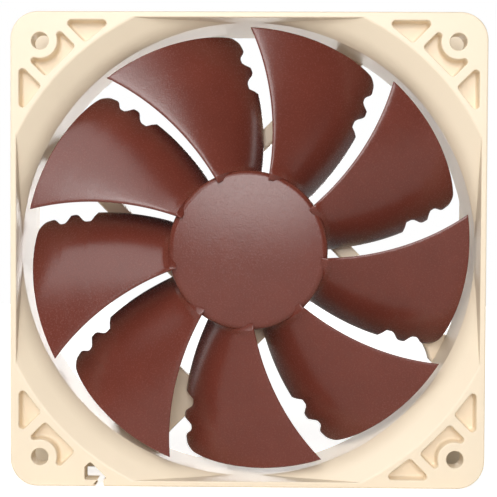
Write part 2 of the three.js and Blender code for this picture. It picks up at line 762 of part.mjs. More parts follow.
function bearingSleeve() {
  const bore = SHAFT_R + RUNNING_GAP;
  const lead = 0.35;
  const profile = [
    [bore + lead, SLEEVE_FRONT],
    [SLEEVE_R - lead, SLEEVE_FRONT],
    [SLEEVE_R, SLEEVE_FRONT + lead],
    [SLEEVE_R, SLEEVE_END],
    [bore, SLEEVE_END],
    [bore, SLEEVE_FRONT + lead],
    [bore + lead, SLEEVE_FRONT],
  ];
  return turned(profile, ROUND_SMALL);
}

function thrustPad() {
  return disc(SLEEVE_R - FIT_GAP, THRUST_FRONT, THRUST_REAR, ROUND_SMALL);
}

// ---------------------------------------------------------------- stator

// The plan of the stator star. Half is the arm's half width, ringR the inner ring, tipR the pole face.
function starOutline(half, ringR, tipR, shoe) {
  const shape = new THREE.Shape();
  const spread = Math.asin(half / ringR);
  const polar = (x, z, angle) => new THREE.Vector2(x, z).rotateAround(new THREE.Vector2(), angle).toArray();
  for (let k = 0; k < POLES; k++) {
    const angle = (k * Math.PI * 2) / POLES;
    const start = [ringR * Math.cos(angle - spread), ringR * Math.sin(angle - spread)];
    if (k === 0) shape.moveTo(...start);
    for (const [x, z] of shoe.map(([x, z]) => [x, -z])) shape.lineTo(...polar(x, z, angle));
    const edge = Math.asin(shoe.at(-1)[1] / tipR);
    if (shoe.length > 2) shape.absarc(0, 0, tipR, angle - edge, angle + edge, false);
    for (const [x, z] of [...shoe].reverse()) shape.lineTo(...polar(x, z, angle));
    const next = angle + (Math.PI * 2) / POLES;
    shape.absarc(0, 0, ringR, angle + spread, next - spread, false);
  }
  shape.closePath();
  return shape;
}

function statorCore() {
  const face = COIL_END + WINDING_GAP;
  const tipAngle = degrees(POLE_SPREAD);
  const tipInner = STATOR_R - SHOE_TIP_T;
  const shoe = [
    [face, POLE_HALF],
    [face, POLE_HALF + WINDING_T + SHOE_OVERHANG],
    [tipInner * Math.cos(tipAngle), tipInner * Math.sin(tipAngle)],
    [STATOR_R * Math.cos(tipAngle), STATOR_R * Math.sin(tipAngle)],
  ];
  const star = starOutline(POLE_HALF, CORE_RING_R, STATOR_R, shoe);
  const bore = disc(TUBE_R + FIT_GAP, STACK_FRONT - OVER, STACK_END + OVER, ROUND_SMALL);
  return plate(star, STACK_FRONT, STACK_END, 6).subtract(bore);
}

// One of the two moulded insulators: a star-shaped plate with a wall on each side of every winding.
// Outward is -1 for the one on the intake side and +1 for the other, which also carries the pins.
function insulator(outward) {
  const contact = outward < 0 ? STACK_FRONT - FIT_GAP : STACK_END + FIT_GAP;
  const depths = (height) => [contact, contact + outward * height].sort((a, b) => a - b);
  const half = POLE_HALF + INSULATOR_SIDE;
  const ringR = COIL_START - WINDING_GAP;
  const flange = COIL_END + WINDING_GAP;
  const top = INSULATOR_T + WINDING_T - INSULATOR_SET_BACK;
  const lap = 0.2;
  const parts = [
    ring(CORE_RING_R - lap, ringR, ...depths(top), ROUND_MID),
    ring(TUBE_R + 2 * lap, CORE_RING_R, ...depths(INSULATOR_T), ROUND_MID),
  ];
  for (let k = 0; k < POLES; k++) {
    const angle = (k * Math.PI * 2) / POLES;
    const arm = flange + 2 * lap - CORE_RING_R;
    parts.push(block(arm, 2 * half, CORE_RING_R + arm / 2, 0, ...depths(INSULATOR_T), angle));
    const wallTop = top + INSULATOR_SET_BACK / 2;
    parts.push(block(INSULATOR_T, 2 * FLANGE_HALF, flange + INSULATOR_T / 2, 0, ...depths(wallTop), angle));
    if (outward < 0) continue;
    const ear = PIN_OUT + 1;
    parts.push(block(ear, EAR_W, CORE_RING_R + ear / 2, 0, ...depths(top), angle + Math.PI / 4));
  }
  const whole = union(parts);
  return outward < 0 ? whole : whole.subtract(pinHoles(PIN_SIZE + 2 * FIT_GAP));
}

function pinHoles(size) {
  const cuts = [];
  for (let k = 0; k < POLES; k++)
    cuts.push(block(size, size, PIN_R, 0, 0, DEPTH, (k * Math.PI * 2) / POLES + Math.PI / 4));
  return union(cuts);
}

// A winding: a rounded coil of wire round one arm and both insulators.
function coil(k) {
  const innerHalf = POLE_HALF + INSULATOR_SIDE + WINDING_GAP;
  const reach = STACK_T / 2 + FIT_GAP + INSULATOR_T + WINDING_GAP;
  const rectangle = (across, along, radius) =>
    outline([
      [-across, -along, radius],
      [across, -along, radius],
      [across, along, radius],
      [-across, along, radius],
    ]);
  const bend = 0.3;
  const shape = rectangle(innerHalf + WINDING_T, reach + WINDING_END_T, WINDING_END_T);
  shape.holes.push(rectangle(innerHalf, reach, bend));
  const length = COIL_END - COIL_START;
  const geometry = new THREE.ExtrudeGeometry(shape, { depth: length, bevelEnabled: false, curveSegments: 4 });
  geometry.rotateY(QUARTER).translate(COIL_START, yOf(STACK_MID), 0);
  return spun(solid(geometry), (k * Math.PI * 2) / POLES);
}

function terminalPin(k) {
  const angle = (k * Math.PI * 2) / POLES + Math.PI / 4;
  return block(PIN_SIZE, PIN_SIZE, PIN_R, 0, STACK_END + FIT_GAP, PCB_REAR + PIN_PROUD, angle);
}

// ---------------------------------------------------------------- circuit board

function circuitBoard() {
  return ring(PCB_HOLE_R, PCB_R, PCB_FRONT, PCB_REAR, ROUND_MID).subtract(
    pinHoles(PIN_SIZE + 2 * FIT_GAP),
  );
}

// A component standing on the board: radial and tangential size, height, radius and angle in degrees.
function onBoard([radial, tangential, height], radius, angle) {
  const rear = PCB_FRONT - FIT_GAP;
  return block(radial, tangential, radius, 0, rear - height, rear, degrees(angle));
}

// The driver chip's moulded body with gull-wing legs along each long side.
function driverChip() {
  const [radial, tangential, height] = CHIP.size;
  const angle = degrees(CHIP.angle);
  const reach = 1;
  const rear = PCB_FRONT - FIT_GAP;
  const parts = [block(radial, tangential, BOARD_MID, 0, rear - height, rear - CHIP.standoff, angle)];
  for (let k = 0; k < CHIP.legs; k++) {
    const z = (k - (CHIP.legs - 1) / 2) * CHIP.pitch;
    parts.push(block(radial + 2 * reach, CHIP.legW, BOARD_MID, z, rear - CHIP.legT, rear, angle));
  }
  return union(parts);
}

// A hall sensor standing on the board with its sensing face up to the magnet's rear edge.
function hallSensor() {
  const height = PCB_FRONT - FIT_GAP - (MAGNET_END + HALL.magnetGap);
  return onBoard([...HALL.size, height], MAGNET_R - MAGNET_T / 2, HALL.angle);
}

function rearLabel() {
  const front = FLOOR_REAR + FIT_GAP;
  return disc(LABEL_R, front, front + LABEL_T, ROUND_MID);
}

// ---------------------------------------------------------------- assembly

const FINISH = {
  frame: ["#ecdabd", 0.5, 0],
  impeller: ["#6b342b", 0.45, 0],
  steel: ["#9a9c9f", 0.35, 1],
  zinc: ["#8f9296", 0.4, 1],
  lamination: ["#5c5e62", 0.55, 1],
  ferrite: ["#2f2e2d", 0.8, 0],
  brass: ["#b8934a", 0.3, 1],
  bronze: ["#8a6337", 0.65, 1],
  nylon: ["#e9e5da", 0.5, 0],
  acetal: ["#d8d5cc", 0.4, 0],
  insulation: ["#23231f", 0.55, 0],
  copper: ["#a75a2c", 0.35, 1],
  tin: ["#c3c4c2", 0.35, 1],
  board: ["#2d5a37", 0.5, 0],
  epoxy: ["#1d1d1e", 0.5, 0],
  ceramic: ["#8b7558", 0.6, 0],
  label: ["#b9b6ad", 0.45, 0],
};

const fan = new THREE.Group();
fan.name = "case_fan";

function addPart(name, body, finish) {
  const [color, roughness, metalness] = FINISH[finish];
  const geometry = surfaceOf(body).translate(0, 0, SIDE / 2);
  const mesh = new THREE.Mesh(geometry, new THREE.MeshStandardMaterial({ color, roughness, metalness }));
  mesh.name = name;
  fan.add(mesh);
}

addPart("frame", frame(), "frame");
addPart("bearing_tube", bearingTube(), "brass");
addPart("bearing_sleeve", bearingSleeve(), "bronze");
addPart("thrust_pad", thrustPad(), "nylon");
addPart("stator_core", statorCore(), "lamination");
addPart("insulator_front", insulator(-1), "insulation");
addPart("insulator_rear", insulator(1), "insulation");
for (let k = 0; k < POLES; k++) addPart("coil_" + (k + 1), coil(k), "copper");
for (let k = 0; k < POLES; k++) addPart("terminal_pin_" + (k + 1), terminalPin(k), "tin");
addPart("circuit_board", circuitBoard(), "board");
addPart("driver_chip", driverChip(), "epoxy");
addPart("hall_sensor", hallSensor(), "epoxy");
for (const [name, { size, out, angle, finish }] of Object.entries(SMALL_COMPONENTS))
  addPart(name, onBoard(size, BOARD_MID + out, angle), finish);
addPart("rear_label", rearLabel(), "label");
addPart("impeller", impeller(), "impeller");
addPart("rotor_yoke", rotorYoke(), "steel");
addPart("ring_magnet", ringMagnet(), "ferrite");
addPart("shaft_bush", shaftBush(), "brass");
addPart("shaft", shaft(), "zinc");
addPart("oil_ring", oilRing(), "acetal");
addPart("lock_ring", lockRing(), "acetal");

export default fan;
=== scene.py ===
"""Looks of a 120 mm axial case fan: its moulded frame, nine-bladed impeller and the motor inside.

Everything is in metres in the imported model's frame. The fan stands on its lower edge, its axis runs along
Y and its intake side faces -Y. "Depth" is the distance behind the intake face, "plan" is the X-Z plane
centred on the axis, and plan angles run counter-clockwise seen from the intake side.
"""

import math

import bmesh
import bpy
import numpy as np
from bpy.props import FloatProperty, FloatVectorProperty, IntProperty, PointerProperty
from mathutils import Matrix, Vector


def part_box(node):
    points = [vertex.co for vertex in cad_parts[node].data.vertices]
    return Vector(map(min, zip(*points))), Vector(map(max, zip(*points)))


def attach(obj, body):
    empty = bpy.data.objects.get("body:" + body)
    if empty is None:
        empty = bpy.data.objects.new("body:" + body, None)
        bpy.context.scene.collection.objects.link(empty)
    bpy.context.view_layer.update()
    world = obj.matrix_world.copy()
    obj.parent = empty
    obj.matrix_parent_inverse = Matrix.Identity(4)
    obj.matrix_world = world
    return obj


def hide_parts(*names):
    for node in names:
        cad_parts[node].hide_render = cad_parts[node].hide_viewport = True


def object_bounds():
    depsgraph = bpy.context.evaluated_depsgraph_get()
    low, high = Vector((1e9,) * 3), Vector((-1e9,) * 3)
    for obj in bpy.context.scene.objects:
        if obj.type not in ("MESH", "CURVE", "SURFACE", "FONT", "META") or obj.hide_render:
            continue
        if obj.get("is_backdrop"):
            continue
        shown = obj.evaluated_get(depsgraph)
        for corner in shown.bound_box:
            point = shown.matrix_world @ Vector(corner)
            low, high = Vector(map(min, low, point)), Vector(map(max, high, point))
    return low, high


bl_info = {
    "name": "Case fan looks",
    "version": (1, 0, 0),
    "blender": (4, 5, 0),
    "location": "View3D > Sidebar > Case fan",
    "description": "Builds the frame, impeller, motor and stage of a case fan around its packed CAD model",
    "category": "Add Mesh",
}

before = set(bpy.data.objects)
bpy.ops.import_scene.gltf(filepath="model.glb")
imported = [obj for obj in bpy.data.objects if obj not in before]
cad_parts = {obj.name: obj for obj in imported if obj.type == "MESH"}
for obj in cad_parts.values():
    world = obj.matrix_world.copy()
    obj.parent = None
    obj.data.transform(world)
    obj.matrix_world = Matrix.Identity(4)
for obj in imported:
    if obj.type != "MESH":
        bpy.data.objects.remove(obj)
cad_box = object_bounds()

MM = 0.001
LOW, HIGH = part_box("frame")
HALF_SIDE = (HIGH.x - LOW.x) / 2
FULL_DEPTH = HIGH.y - LOW.y
FRONT = LOW.y
AXIS_Z = (LOW.z + HIGH.z) / 2
STATIC = "frame_body"
SPINNING = "rotor_body"
AROUND = 2 * math.pi

# Clearance round parts that are pressed or glued in, and how far a cutter reaches past the face that it
# opens.
FIT = 0.05 * MM
PAST = 1 * MM

# Frame: the walls left beside the air passage, the outlet's flare, and the motor base.
SIDE_WALL_FRONT = 1.56 * MM
SIDE_WALL_REAR = 2.0 * MM
OUTLET_FLARE = 1.4 * MM
BASE_WALL = 1.4 * MM
BASE_FLOOR = 1.2 * MM
HOLLOW_FLOOR = 1.6 * MM
LABEL_GAP = 0.3 * MM
LABEL_RECESS = 0.4 * MM

# Pockets, in millimetres: half the width of the middle one, the rib beside it, the rims and walls they
# leave, the round of their corners, and the direction in degrees of the bellmouth's tangent at the side
# pockets.
POCKET_HALF = 5.35
POCKET_RIB = 2.45
POCKET_RIM = 2.2
POCKET_WALL = 1.3
MIDDLE_POCKET_WALL = 1.82
POCKET_ROUND = 0.9
POCKET_FACING = 51.6

# Struts: the splay before the duct and its length, the hood over the wires, and the channel that they lie in.
GUSSET = 2.2 * MM
GUSSET_LENGTH = 7 * MM
HOOD_START = 36 * MM
HOOD_WIDTH = 6 * MM
WIRE_HALF = 1.5 * MM
WIRE_DEPTH = 2.4 * MM

# Impeller: how far the hub's face lies behind the intake face, the face's thickness, the wall of its
# boss, the depth at which the skirt ends, where the blades begin, and their gap to the struts.
HUB_SET_BACK = 1.8 * MM
HUB_FACE = 1.8 * MM
BOSS_WALL = 1.75 * MM
SKIRT_END = 18.9 * MM
BLADE_FRONT = 2.5 * MM
BLADE_GAP = 2.3 * MM
# The two bites in a trailing edge: start and length as shares of the span, and depth in degrees.
NOTCHES = ((0.592, 0.165, 3.1), (0.783, 0.135, 2.3))

# Motor
SHAFT_R = 1.5 * MM
GROOVE_R = 1.2 * MM
YOKE_SHEET = 0.8 * MM
MAGNET_WALL = 2.15 * MM
POLES = 4
POLE_HALF = 2.1 * MM
SHOE_SPREAD = 36
WINDING_GAP = 0.15 * MM
COIL_LENGTH = 4.45 * MM

# Camera: place beside, behind and above the axis, what it looks at, focal length in millimetres and roll
# in degrees.
CAMERA = (2.85 * MM, -257.5 * MM, AXIS_Z + 5.89 * MM)
CAMERA_AIM = (0.17 * MM, FRONT, AXIS_Z + 0.56 * MM)
FOCAL_LENGTH = 70.55
ROLL = 0.278


def linear(code):
    """The scene-linear colour of an sRGB hex code such as "#f0e0c0"."""
    channels = [int(code[i : i + 2], 16) / 255 for i in (1, 3, 5)]
    return tuple(c / 12.92 if c <= 0.04045 else ((c + 0.055) / 1.055) ** 2.4 for c in channels)


def size(name, description, millimetres):
    """A length property given in millimetres."""
    return FloatProperty(
        name=name, description=description, default=millimetres * MM, unit="LENGTH", precision=5
    )


def strength(name, description, value, unit="NONE"):
    """A property for a light's power or strength."""
    return FloatProperty(name=name, description=description, default=value, unit=unit)


def colour(name, description, code):
    """A colour property given as an sRGB hex code."""
    return FloatVectorProperty(
        name=name, description=description, default=linear(code), subtype="COLOR", size=3, min=0, max=1
    )


# ---- sizes and colours a user would change


class FrameSizes(bpy.types.PropertyGroup):
    corner_radius: size("Corner radius", "Round of the square frame's four corners", 7.0)
    edge_round: size("Edge round", "Round along the outer edges of both flanges", 0.55)
    lip_round: size("Lip round", "Round along the rims of pockets, holes and the air passage", 0.3)
    hole_inset: size("Hole inset", "Distance of a screw hole from both sides", 7.5)
    hole_radius: size("Hole radius", "Radius of a screw hole", 2.15)
    flange: size("Flange", "Thickness of each flange", 4.6)
    wall: size("Duct wall", "Thickness of the duct where it meets the sides", 1.6)
    mouth: size("Bellmouth", "How far the bellmouth reaches outside the duct", 6.8)
    mouth_depth: size("Bellmouth depth", "Depth at which the bellmouth meets the duct", 6.4)
    pocket_depth: size("Pocket depth", "Depth of the pockets in the intake flange", 3.4)
    boss: size("Boss radius", "Radius of the boss round a screw hole", 4.4)
    strut: size("Strut", "Width and depth of a strut", 4.4)
    strut_offset: size("Strut offset", "Distance at which a strut's centre line passes the axis", 18.15)
    base: size("Motor base", "Outer radius of the cup that holds the motor", 20.6)
    label: size("Label radius", "Radius of the rear label", 16.2)


class ImpellerSizes(bpy.types.PropertyGroup):
    blades: IntProperty(name="Blades", description="Number of blades", default=9, min=3)
    hub: size("Hub radius", "Radius of the hub", 20.4)
    tip: size("Tip radius", "Radius of the blade tips", 56.5)
    shoulder: size("Shoulder", "Round between the hub's face and its side", 1.5)
    dome: size("Dome", "How far the middle of the hub's face stands proud of its rim", 0.8)
    root_thickness: size("Root thickness", "Thickness of a blade at the hub", 1.9)
    tip_thickness: size("Tip thickness", "Thickness of a blade at its tip", 1.35)
    fillet: size("Root fillet", "Fillet between a blade and the hub", 0.9)


class MotorSizes(bpy.types.PropertyGroup):
    wire: size("Wire", "Diameter of the enamelled winding wire", 0.36)
    sheet: size("Sheet", "Thickness of one stator lamination", 0.5)
    break_edge: size("Broken edge", "Round on the edges of the small turned and moulded parts", 0.12)


class FinishColours(bpy.types.PropertyGroup):
    beige: colour("Beige plastic", "Moulded frame", "#f0dfc5")
    brown: colour("Brown plastic", "Moulded impeller", "#6b3328")
    board: colour("Solder mask", "Circuit board", "#2d5a37")
    label: colour("Label film", "Rear label", "#c9c6bd")
    paper: colour("Studio paper", "Floor", "#f4f2ee")


class StageSettings(bpy.types.PropertyGroup):
    key: strength("Key light", "Power of the softbox above the lens", 4.8, "POWER")
    top: strength("Top light", "Power of the overhead softbox", 5.0, "POWER")
    side: strength("Side lights", "Power of each light beside", 1.5, "POWER")
    rear: strength("Rear light", "Power of the light behind", 3.2, "POWER")
    ambient: strength("Ambient", "Strength of the white surroundings", 0.05)
    glow: strength("Table glow", "Strength of the light in the translucent table", 0.7)


# ---- outlines in plan


def extent(node):
    """Outer radius, front depth and rear depth of a CAD node that is round about the axis."""
    low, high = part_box(node)
    return (high.x - low.x) / 2, low.y - FRONT, high.y - FRONT


def rounded_path(corners, closed=True, steps=6):
    """A path through corners (a, b, radius), each corner replaced by the arc of that radius tangent to
    both sides: the arc starts radius * tan(turn / 2) before the corner, and its centre lies radius beside
    the path."""
    points = [np.array(corner[:2], float) for corner in corners]
    count = len(corners)
    runs = []
    for i, corner in enumerate(corners):
        radius = corner[2] if len(corner) > 2 else 0
        at_end = not closed and i in (0, count - 1)
        before = points[i] - points[i - 1]
        after = points[(i + 1) % count] - points[i]
        before = before / np.linalg.norm(before)
        after = after / np.linalg.norm(after)
        turn = math.atan2(before[0] * after[1] - before[1] * after[0], before @ after)
        if at_end or radius == 0 or abs(turn) < 1e-6:
            runs.append(points[i][None])
            continue
        side = math.copysign(1, turn)
        aside = np.array((before[1], -before[0]))
        start = points[i] - before * radius * math.tan(abs(turn) / 2)
        centre = start - side * radius * aside
        angles = math.atan2(aside[1], aside[0]) + turn * np.linspace(0, 1, steps + 1)
        runs.append(centre + side * radius * np.stack([np.cos(angles), np.sin(angles)], 1))
    return np.concatenate(runs)


def circle(radius, count, x=0.0, z=0.0):
    """count points at equal angles round (x, z)."""
    angles = AROUND * np.arange(count) / count
    return np.stack([x + radius * np.cos(angles), z + radius * np.sin(angles)], 1)


def arc(radius, start, stop, steps, x=0.0, z=0.0):
    """Points of an arc round (x, z) between two angles in radians."""
    angles = np.linspace(start, stop, steps + 1)
    return np.stack([x + radius * np.cos(angles), z + radius * np.sin(angles)], 1)


def rectangle(half_x, half_z, radius, steps=5):
    """A rounded rectangle centred on the origin."""
    corners = [(-half_x, -half_z), (half_x, -half_z), (half_x, half_z), (-half_x, half_z)]
    return rounded_path([(x, z, radius) for x, z in corners], steps=steps)


def rotated(points, angle):
    """Plan points turned about the axis."""
    c, s = math.cos(angle), math.sin(angle)
    return points @ np.array([[c, s], [-s, c]])


def anticlockwise(points):
    """The same outline, reversed if its signed area is negative."""
    x, z = points.T
    area = np.sum(x * np.roll(z, -1) - z * np.roll(x, -1))
    return points if area > 0 else points[::-1]


def grown(points, amount):
    """An anticlockwise outline moved outwards: each point goes amount along the right-hand normal of the
    chord between its two neighbours."""
    chord = np.roll(points, -1, 0) - np.roll(points, 1, 0)
    normal = np.stack([chord[:, 1], -chord[:, 0]], 1)
    return points + amount * normal / np.linalg.norm(normal, axis=1, keepdims=True)


# ---- solids as grids of rings


def in_space(plan, depth):
    """Plan points at a depth, as points of the row frame."""
    return np.stack([plan[:, 0], np.broadcast_to(FRONT + depth, len(plan)), plan[:, 1] + AXIS_Z], 1)


def stack(outline, levels):
    """Rings of a solid: the outline, grown by each level's amount, at each level's depth."""
    outline = anticlockwise(outline)
    return np.stack([in_space(grown(outline, amount), depth) for depth, amount in levels])


def plate_levels(front, rear, round_front, round_rear, steps=5):
    """Levels of a plate whose edges are quarter rounds: the outline draws in by r(1 - sin a) at r(1 - cos
    a)."""
    a = np.linspace(0, math.pi / 2, steps + 1)
    near = [(front + round_front * (1 - math.cos(t)), -round_front * (1 - math.sin(t))) for t in a]
    far = [(rear - round_rear * (1 - math.cos(t)), -round_rear * (1 - math.sin(t))) for t in a[::-1]]
    return near + far


def pocket_levels(depth, lip, floor_round, draft=0.0, steps=5):
    """Levels of a cutter for a blind pocket: its rim flares by a quarter round of radius lip, its wall
    draws in by draft, and its floor meets the wall in a hollow quarter round."""
    a = np.linspace(0, math.pi / 2, steps + 1)
    rim = [(lip * (1 - math.cos(t)), lip * (1 - math.sin(t))) for t in a]
    foot = [
        (depth - floor_round * (1 - math.sin(t)), -draft - floor_round * (1 - math.cos(t))) for t in a
    ]
    return [(-PAST, lip)] + rim + foot


def through_levels(lip, steps=5):
    """Levels of a cutter that goes through both faces, with a rounded rim at each."""
    a = np.linspace(0, math.pi / 2, steps + 1)
    near = [(lip * (1 - math.cos(t)), lip * (1 - math.sin(t))) for t in a]
    far = [(FULL_DEPTH - depth, amount) for depth, amount in near[::-1]]
    return [(-PAST, lip)] + near + far + [(FULL_DEPTH + PAST, lip)]


def lathe(profile, segments):
    """Rings of a profile of (radius, depth) pairs spun about the axis."""
    angles = AROUND * np.arange(segments) / segments
    radius, depth = np.asarray(profile, float).T
    x = radius[:, None] * np.cos(angles)
    z = radius[:, None] * np.sin(angles) + AXIS_Z
    y = np.broadcast_to((FRONT + depth)[:, None], x.shape)
    return np.stack([x, y, z], -1)


def shell(rings, wrapped=False):
    """Points and faces of a grid of rings: quads between neighbouring rings, and a cap on the first and
    last ring unless the rings close on themselves."""
    rows, columns = rings.shape[:2]
    i = np.arange(rows if wrapped else rows - 1)[:, None]
    j = np.arange(columns)[None]
    here, after = i * columns, ((i + 1) % rows) * columns
    beside = (j + 1) % columns
    faces = np.stack([here + j, here + beside, after + beside, after + j], -1).reshape(-1, 4).tolist()
    if not wrapped:
        faces.append(list(range(columns))[::-1])
        faces.append(list(range((rows - 1) * columns, rows * columns)))
    return rings.reshape(-1, 3), faces


def build(name, *shells, slots=()):
    """One mesh object of several closed shells, each in its own material slot if slots says so. Doubled
    points, such as a lathe's pole, are merged, and then the faces are turned outwards."""
    points, faces, start = [], [], 0
    for shell_points, shell_faces in shells:
        points.append(shell_points)
        faces += [[start + k for k in face] for face in shell_faces]
        start += len(shell_points)
    mesh = bpy.data.meshes.new(name)
    mesh.from_pydata(np.concatenate(points).tolist(), [], faces)
    if slots:
        mesh.polygons.foreach_set("material_index", np.repeat(slots, [len(made) for _, made in shells]))
    obj = bpy.data.objects.new(name, mesh)
    bpy.context.scene.collection.objects.link(obj)
    clean(mesh)
    return obj


def clean(mesh):
    """Merges doubled points, drops collapsed faces and turns faces outwards."""
    work = bmesh.new()
    work.from_mesh(mesh)
    bmesh.ops.remove_doubles(work, verts=work.verts, dist=1e-8)
    bmesh.ops.recalc_face_normals(work, faces=work.faces)
    work.to_mesh(mesh)
    work.free()


def combine(base, operation, *others):
    """base with each other solid joined on, cut away or kept in common. The others are used up."""
    for other in others:
        modifier = base.modifiers.new("combine", "BOOLEAN")
        modifier.operation = operation
        modifier.solver = "MANIFOLD"
        modifier.object = other
        depsgraph = bpy.context.evaluated_depsgraph_get()
        result = bpy.data.meshes.new_from_object(base.evaluated_get(depsgraph))
        base.modifiers.clear()
        if not result.polygons:
            raise RuntimeError(f"{base.name}: nothing is left after {operation} with {other.name}")
        spare = base.data
        base.data = result
        result.name = base.name
        bpy.data.meshes.remove(spare)
        spare = other.data
        bpy.data.objects.remove(other)
        bpy.data.meshes.remove(spare)
    return base


def finish(obj, body, finishes, nodes, sharp=32):
    """Gives a piece its materials, smooth shading with sharp edges kept and its body, and hides the CAD
    nodes it stands for."""
    slots = np.zeros(len(obj.data.polygons), np.int32)
    obj.data.polygons.foreach_get("material_index", slots)
    obj.data.materials.clear()
    for one in finishes:
        obj.data.materials.append(one)
    obj.data.polygons.foreach_set("material_index", slots % len(finishes))
    obj.data.shade_smooth()
    obj.data.set_sharp_from_angle(angle=math.radians(sharp))
    weighted = obj.modifiers.new("even shading", "WEIGHTED_NORMAL")
    weighted.keep_sharp = True
    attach(obj, body)
    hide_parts(*nodes)
    return obj


# ---- materials


def add(tree, kind, settings=None, inputs=None):
    """A new node with its settings, and its inputs set to a value or linked to another node's output."""
    made = tree.nodes.new(kind)
    for key, value in (settings or {}).items():
        setattr(made, key, value)
    for key, value in (inputs or {}).items():
        if isinstance(value, bpy.types.NodeSocket):
            tree.links.new(value, made.inputs[key])
        else:
            made.inputs[key].default_value = value
    return made


def blank(name):
    """A material with nothing but its output and Principled shader, and its object coordinates."""
    material = bpy.data.materials.new(name)
    material.use_nodes = True
    tree = material.node_tree
    shader = tree.nodes["Principled BSDF"]
    where = add(tree, "ShaderNodeTexCoord").outputs["Object"]
    return material, tree, shader, where


def noise(tree, where, grain, detail=2.0, roughness=0.5):
    """Noise whose features measure about grain, in metres."""
    inputs = {"Vector": where, "Scale": 1 / grain, "Detail": detail, "Roughness": roughness}
    return add(tree, "ShaderNodeTexNoise", inputs=inputs).outputs["Fac"]


def spread(tree, value, low, high, start=0.3, stop=0.7):
    """value between start and stop, mapped to low and high."""
    inputs = {"Value": value, "From Min": start, "From Max": stop, "To Min": low, "To Max": high}
    return add(tree, "ShaderNodeMapRange", inputs=inputs).outputs["Result"]


def mixed(tree, factor, first, second):
    """A colour between two others."""
    ends = {0: factor, 6: (*first, 1), 7: (*second, 1)}
    return add(tree, "ShaderNodeMix", {"data_type": "RGBA"}, ends).outputs[2]


def shaded(rgb, amount):
    """A colour made lighter or darker by a factor."""
    return tuple(min(1.0, c * amount) for c in rgb)


def moulded(name, rgb, roughness, grain, bump, mottle=0.03, ior=1.57):
    """An injection-moulded plastic: spark-eroded mould texture as fine bump, flow mottling a few
    millimetres wide in the colour, and a sheen that wanders a little with both."""
    material, tree, shader, where = blank(name)
    flow = noise(tree, where, 9 * MM, 3)
    speck = noise(tree, where, grain, 2, 0.6)
    both = add(tree, "ShaderNodeMath", {"operation": "MULTIPLY_ADD"}, {0: speck, 1: 0.45, 2: flow}).outputs[0]
    tone = mixed(tree, spread(tree, both, 0, 1, 0.45, 1.0), shaded(rgb, 1 - mottle), shaded(rgb, 1 + mottle))
    tree.links.new(tone, shader.inputs["Base Color"])
    tree.links.new(spread(tree, speck, roughness - 0.05, roughness + 0.07), shader.inputs["Roughness"])
    relief = add(tree, "ShaderNodeBump", inputs={"Height": speck, "Strength": bump, "Distance": 0.03 * MM})
    tree.links.new(relief.outputs["Normal"], shader.inputs["Normal"])
    shader.inputs["IOR"].default_value = ior
    return material


def metal(name, rgb, roughness, grain, stretch=(1, 1, 1), bump=0.15, mottle=0.06):
    """A metal surface: its grain is noise stretched along the tool marks, in the bump, the roughness and
    faintly in the colour."""
    material, tree, shader, where = blank(name)
    marks = add(tree, "ShaderNodeMapping", inputs={"Vector": where, "Scale": stretch}).outputs["Vector"]
    speck = noise(tree, marks, grain, 3, 0.6)
    cloud = noise(tree, where, 4 * MM, 2)
    tone = mixed(tree, spread(tree, cloud, 0, 1), shaded(rgb, 1 - mottle), shaded(rgb, 1 + mottle))
    tree.links.new(tone, shader.inputs["Base Color"])
    tree.links.new(spread(tree, speck, roughness * 0.75, roughness * 1.3), shader.inputs["Roughness"])
    relief = add(tree, "ShaderNodeBump", inputs={"Height": speck, "Strength": bump, "Distance": 0.02 * MM})
    tree.links.new(relief.outputs["Normal"], shader.inputs["Normal"])
    shader.inputs["Metallic"].default_value = 1.0
    return material


def beige_pbt(colours):
    """Glass-filled PBT, moulded in a fine spark-eroded tool: a warm cream satin that hides fingerprints."""
    return moulded("moulded_beige_pbt", colours.beige, 0.42, 0.22 * MM, 0.22, 0.012)


def brown_pbt(colours):
    """Glass-filled PBT in chocolate brown: its grain glitters finely where the light glances off."""
    return moulded("moulded_brown_pbt", colours.brown, 0.24, 0.4 * MM, 1.0, 0.07, 1.5)


def drawn_steel():
    """Zinc-plated steel sheet, deep-drawn: pale blue-grey with faint draw lines along the axis."""
    return metal("drawn_zinc_plated_steel", linear("#a9adb2"), 0.34, 0.5 * MM, (1, 0.08, 1), 0.12)


def ground_steel():
    """Hardened steel, centreless ground: bright, with fine rings round the pin."""
    return metal("ground_hardened_steel", linear("#c4c6c9"), 0.16, 0.25 * MM, (0.1, 1, 0.1), 0.06)


def turned_brass():
    """Free-cutting brass, turned: warm yellow with the fine rings that the tool leaves."""
    return metal("turned_brass", linear("#c9a45a"), 0.26, 0.25 * MM, (0.1, 1, 0.1), 0.12)


def sintered_bronze():
    """Oil-filled sintered bronze: dull brown metal, open with pores about a tenth of a millimetre across."""
    return metal("sintered_bronze", linear("#94683b"), 0.55, 0.12 * MM, (1, 1, 1), 0.5, 0.14)


def silicon_steel():
    """Punched silicon steel with a phosphate coat: dark grey, half dull, its sheet edges sheared bright."""
    return metal("punched_silicon_steel", linear("#6d7176"), 0.48, 0.3 * MM, (1, 1, 1), 0.25, 0.1)


def tinned_bronze():
    """Phosphor bronze dipped in solder: soft silver with a slightly frozen skin."""
    return metal("tinned_phosphor_bronze", linear("#cfd0cd"), 0.3, 0.35 * MM, (1, 1, 1), 0.3)


def enamelled_copper():
    """Copper wire under clear enamel: the metal's orange through a glossy coat."""
    material = metal("enamelled_copper_wire", linear("#b4622f"), 0.3, 0.6 * MM, (1, 1, 1), 0.1, 0.12)
    shader = material.node_tree.nodes["Principled BSDF"]
    shader.inputs["Coat Weight"].default_value = 0.6
    shader.inputs["Coat Roughness"].default_value = 0.12
    return material


def sintered_ferrite():
    """Pressed and sintered ferrite: charcoal, chalky, with grains that show as fine pitting."""
    return moulded("sintered_ferrite", linear("#353433"), 0.72, 0.18 * MM, 0.6, 0.12, 2.0)


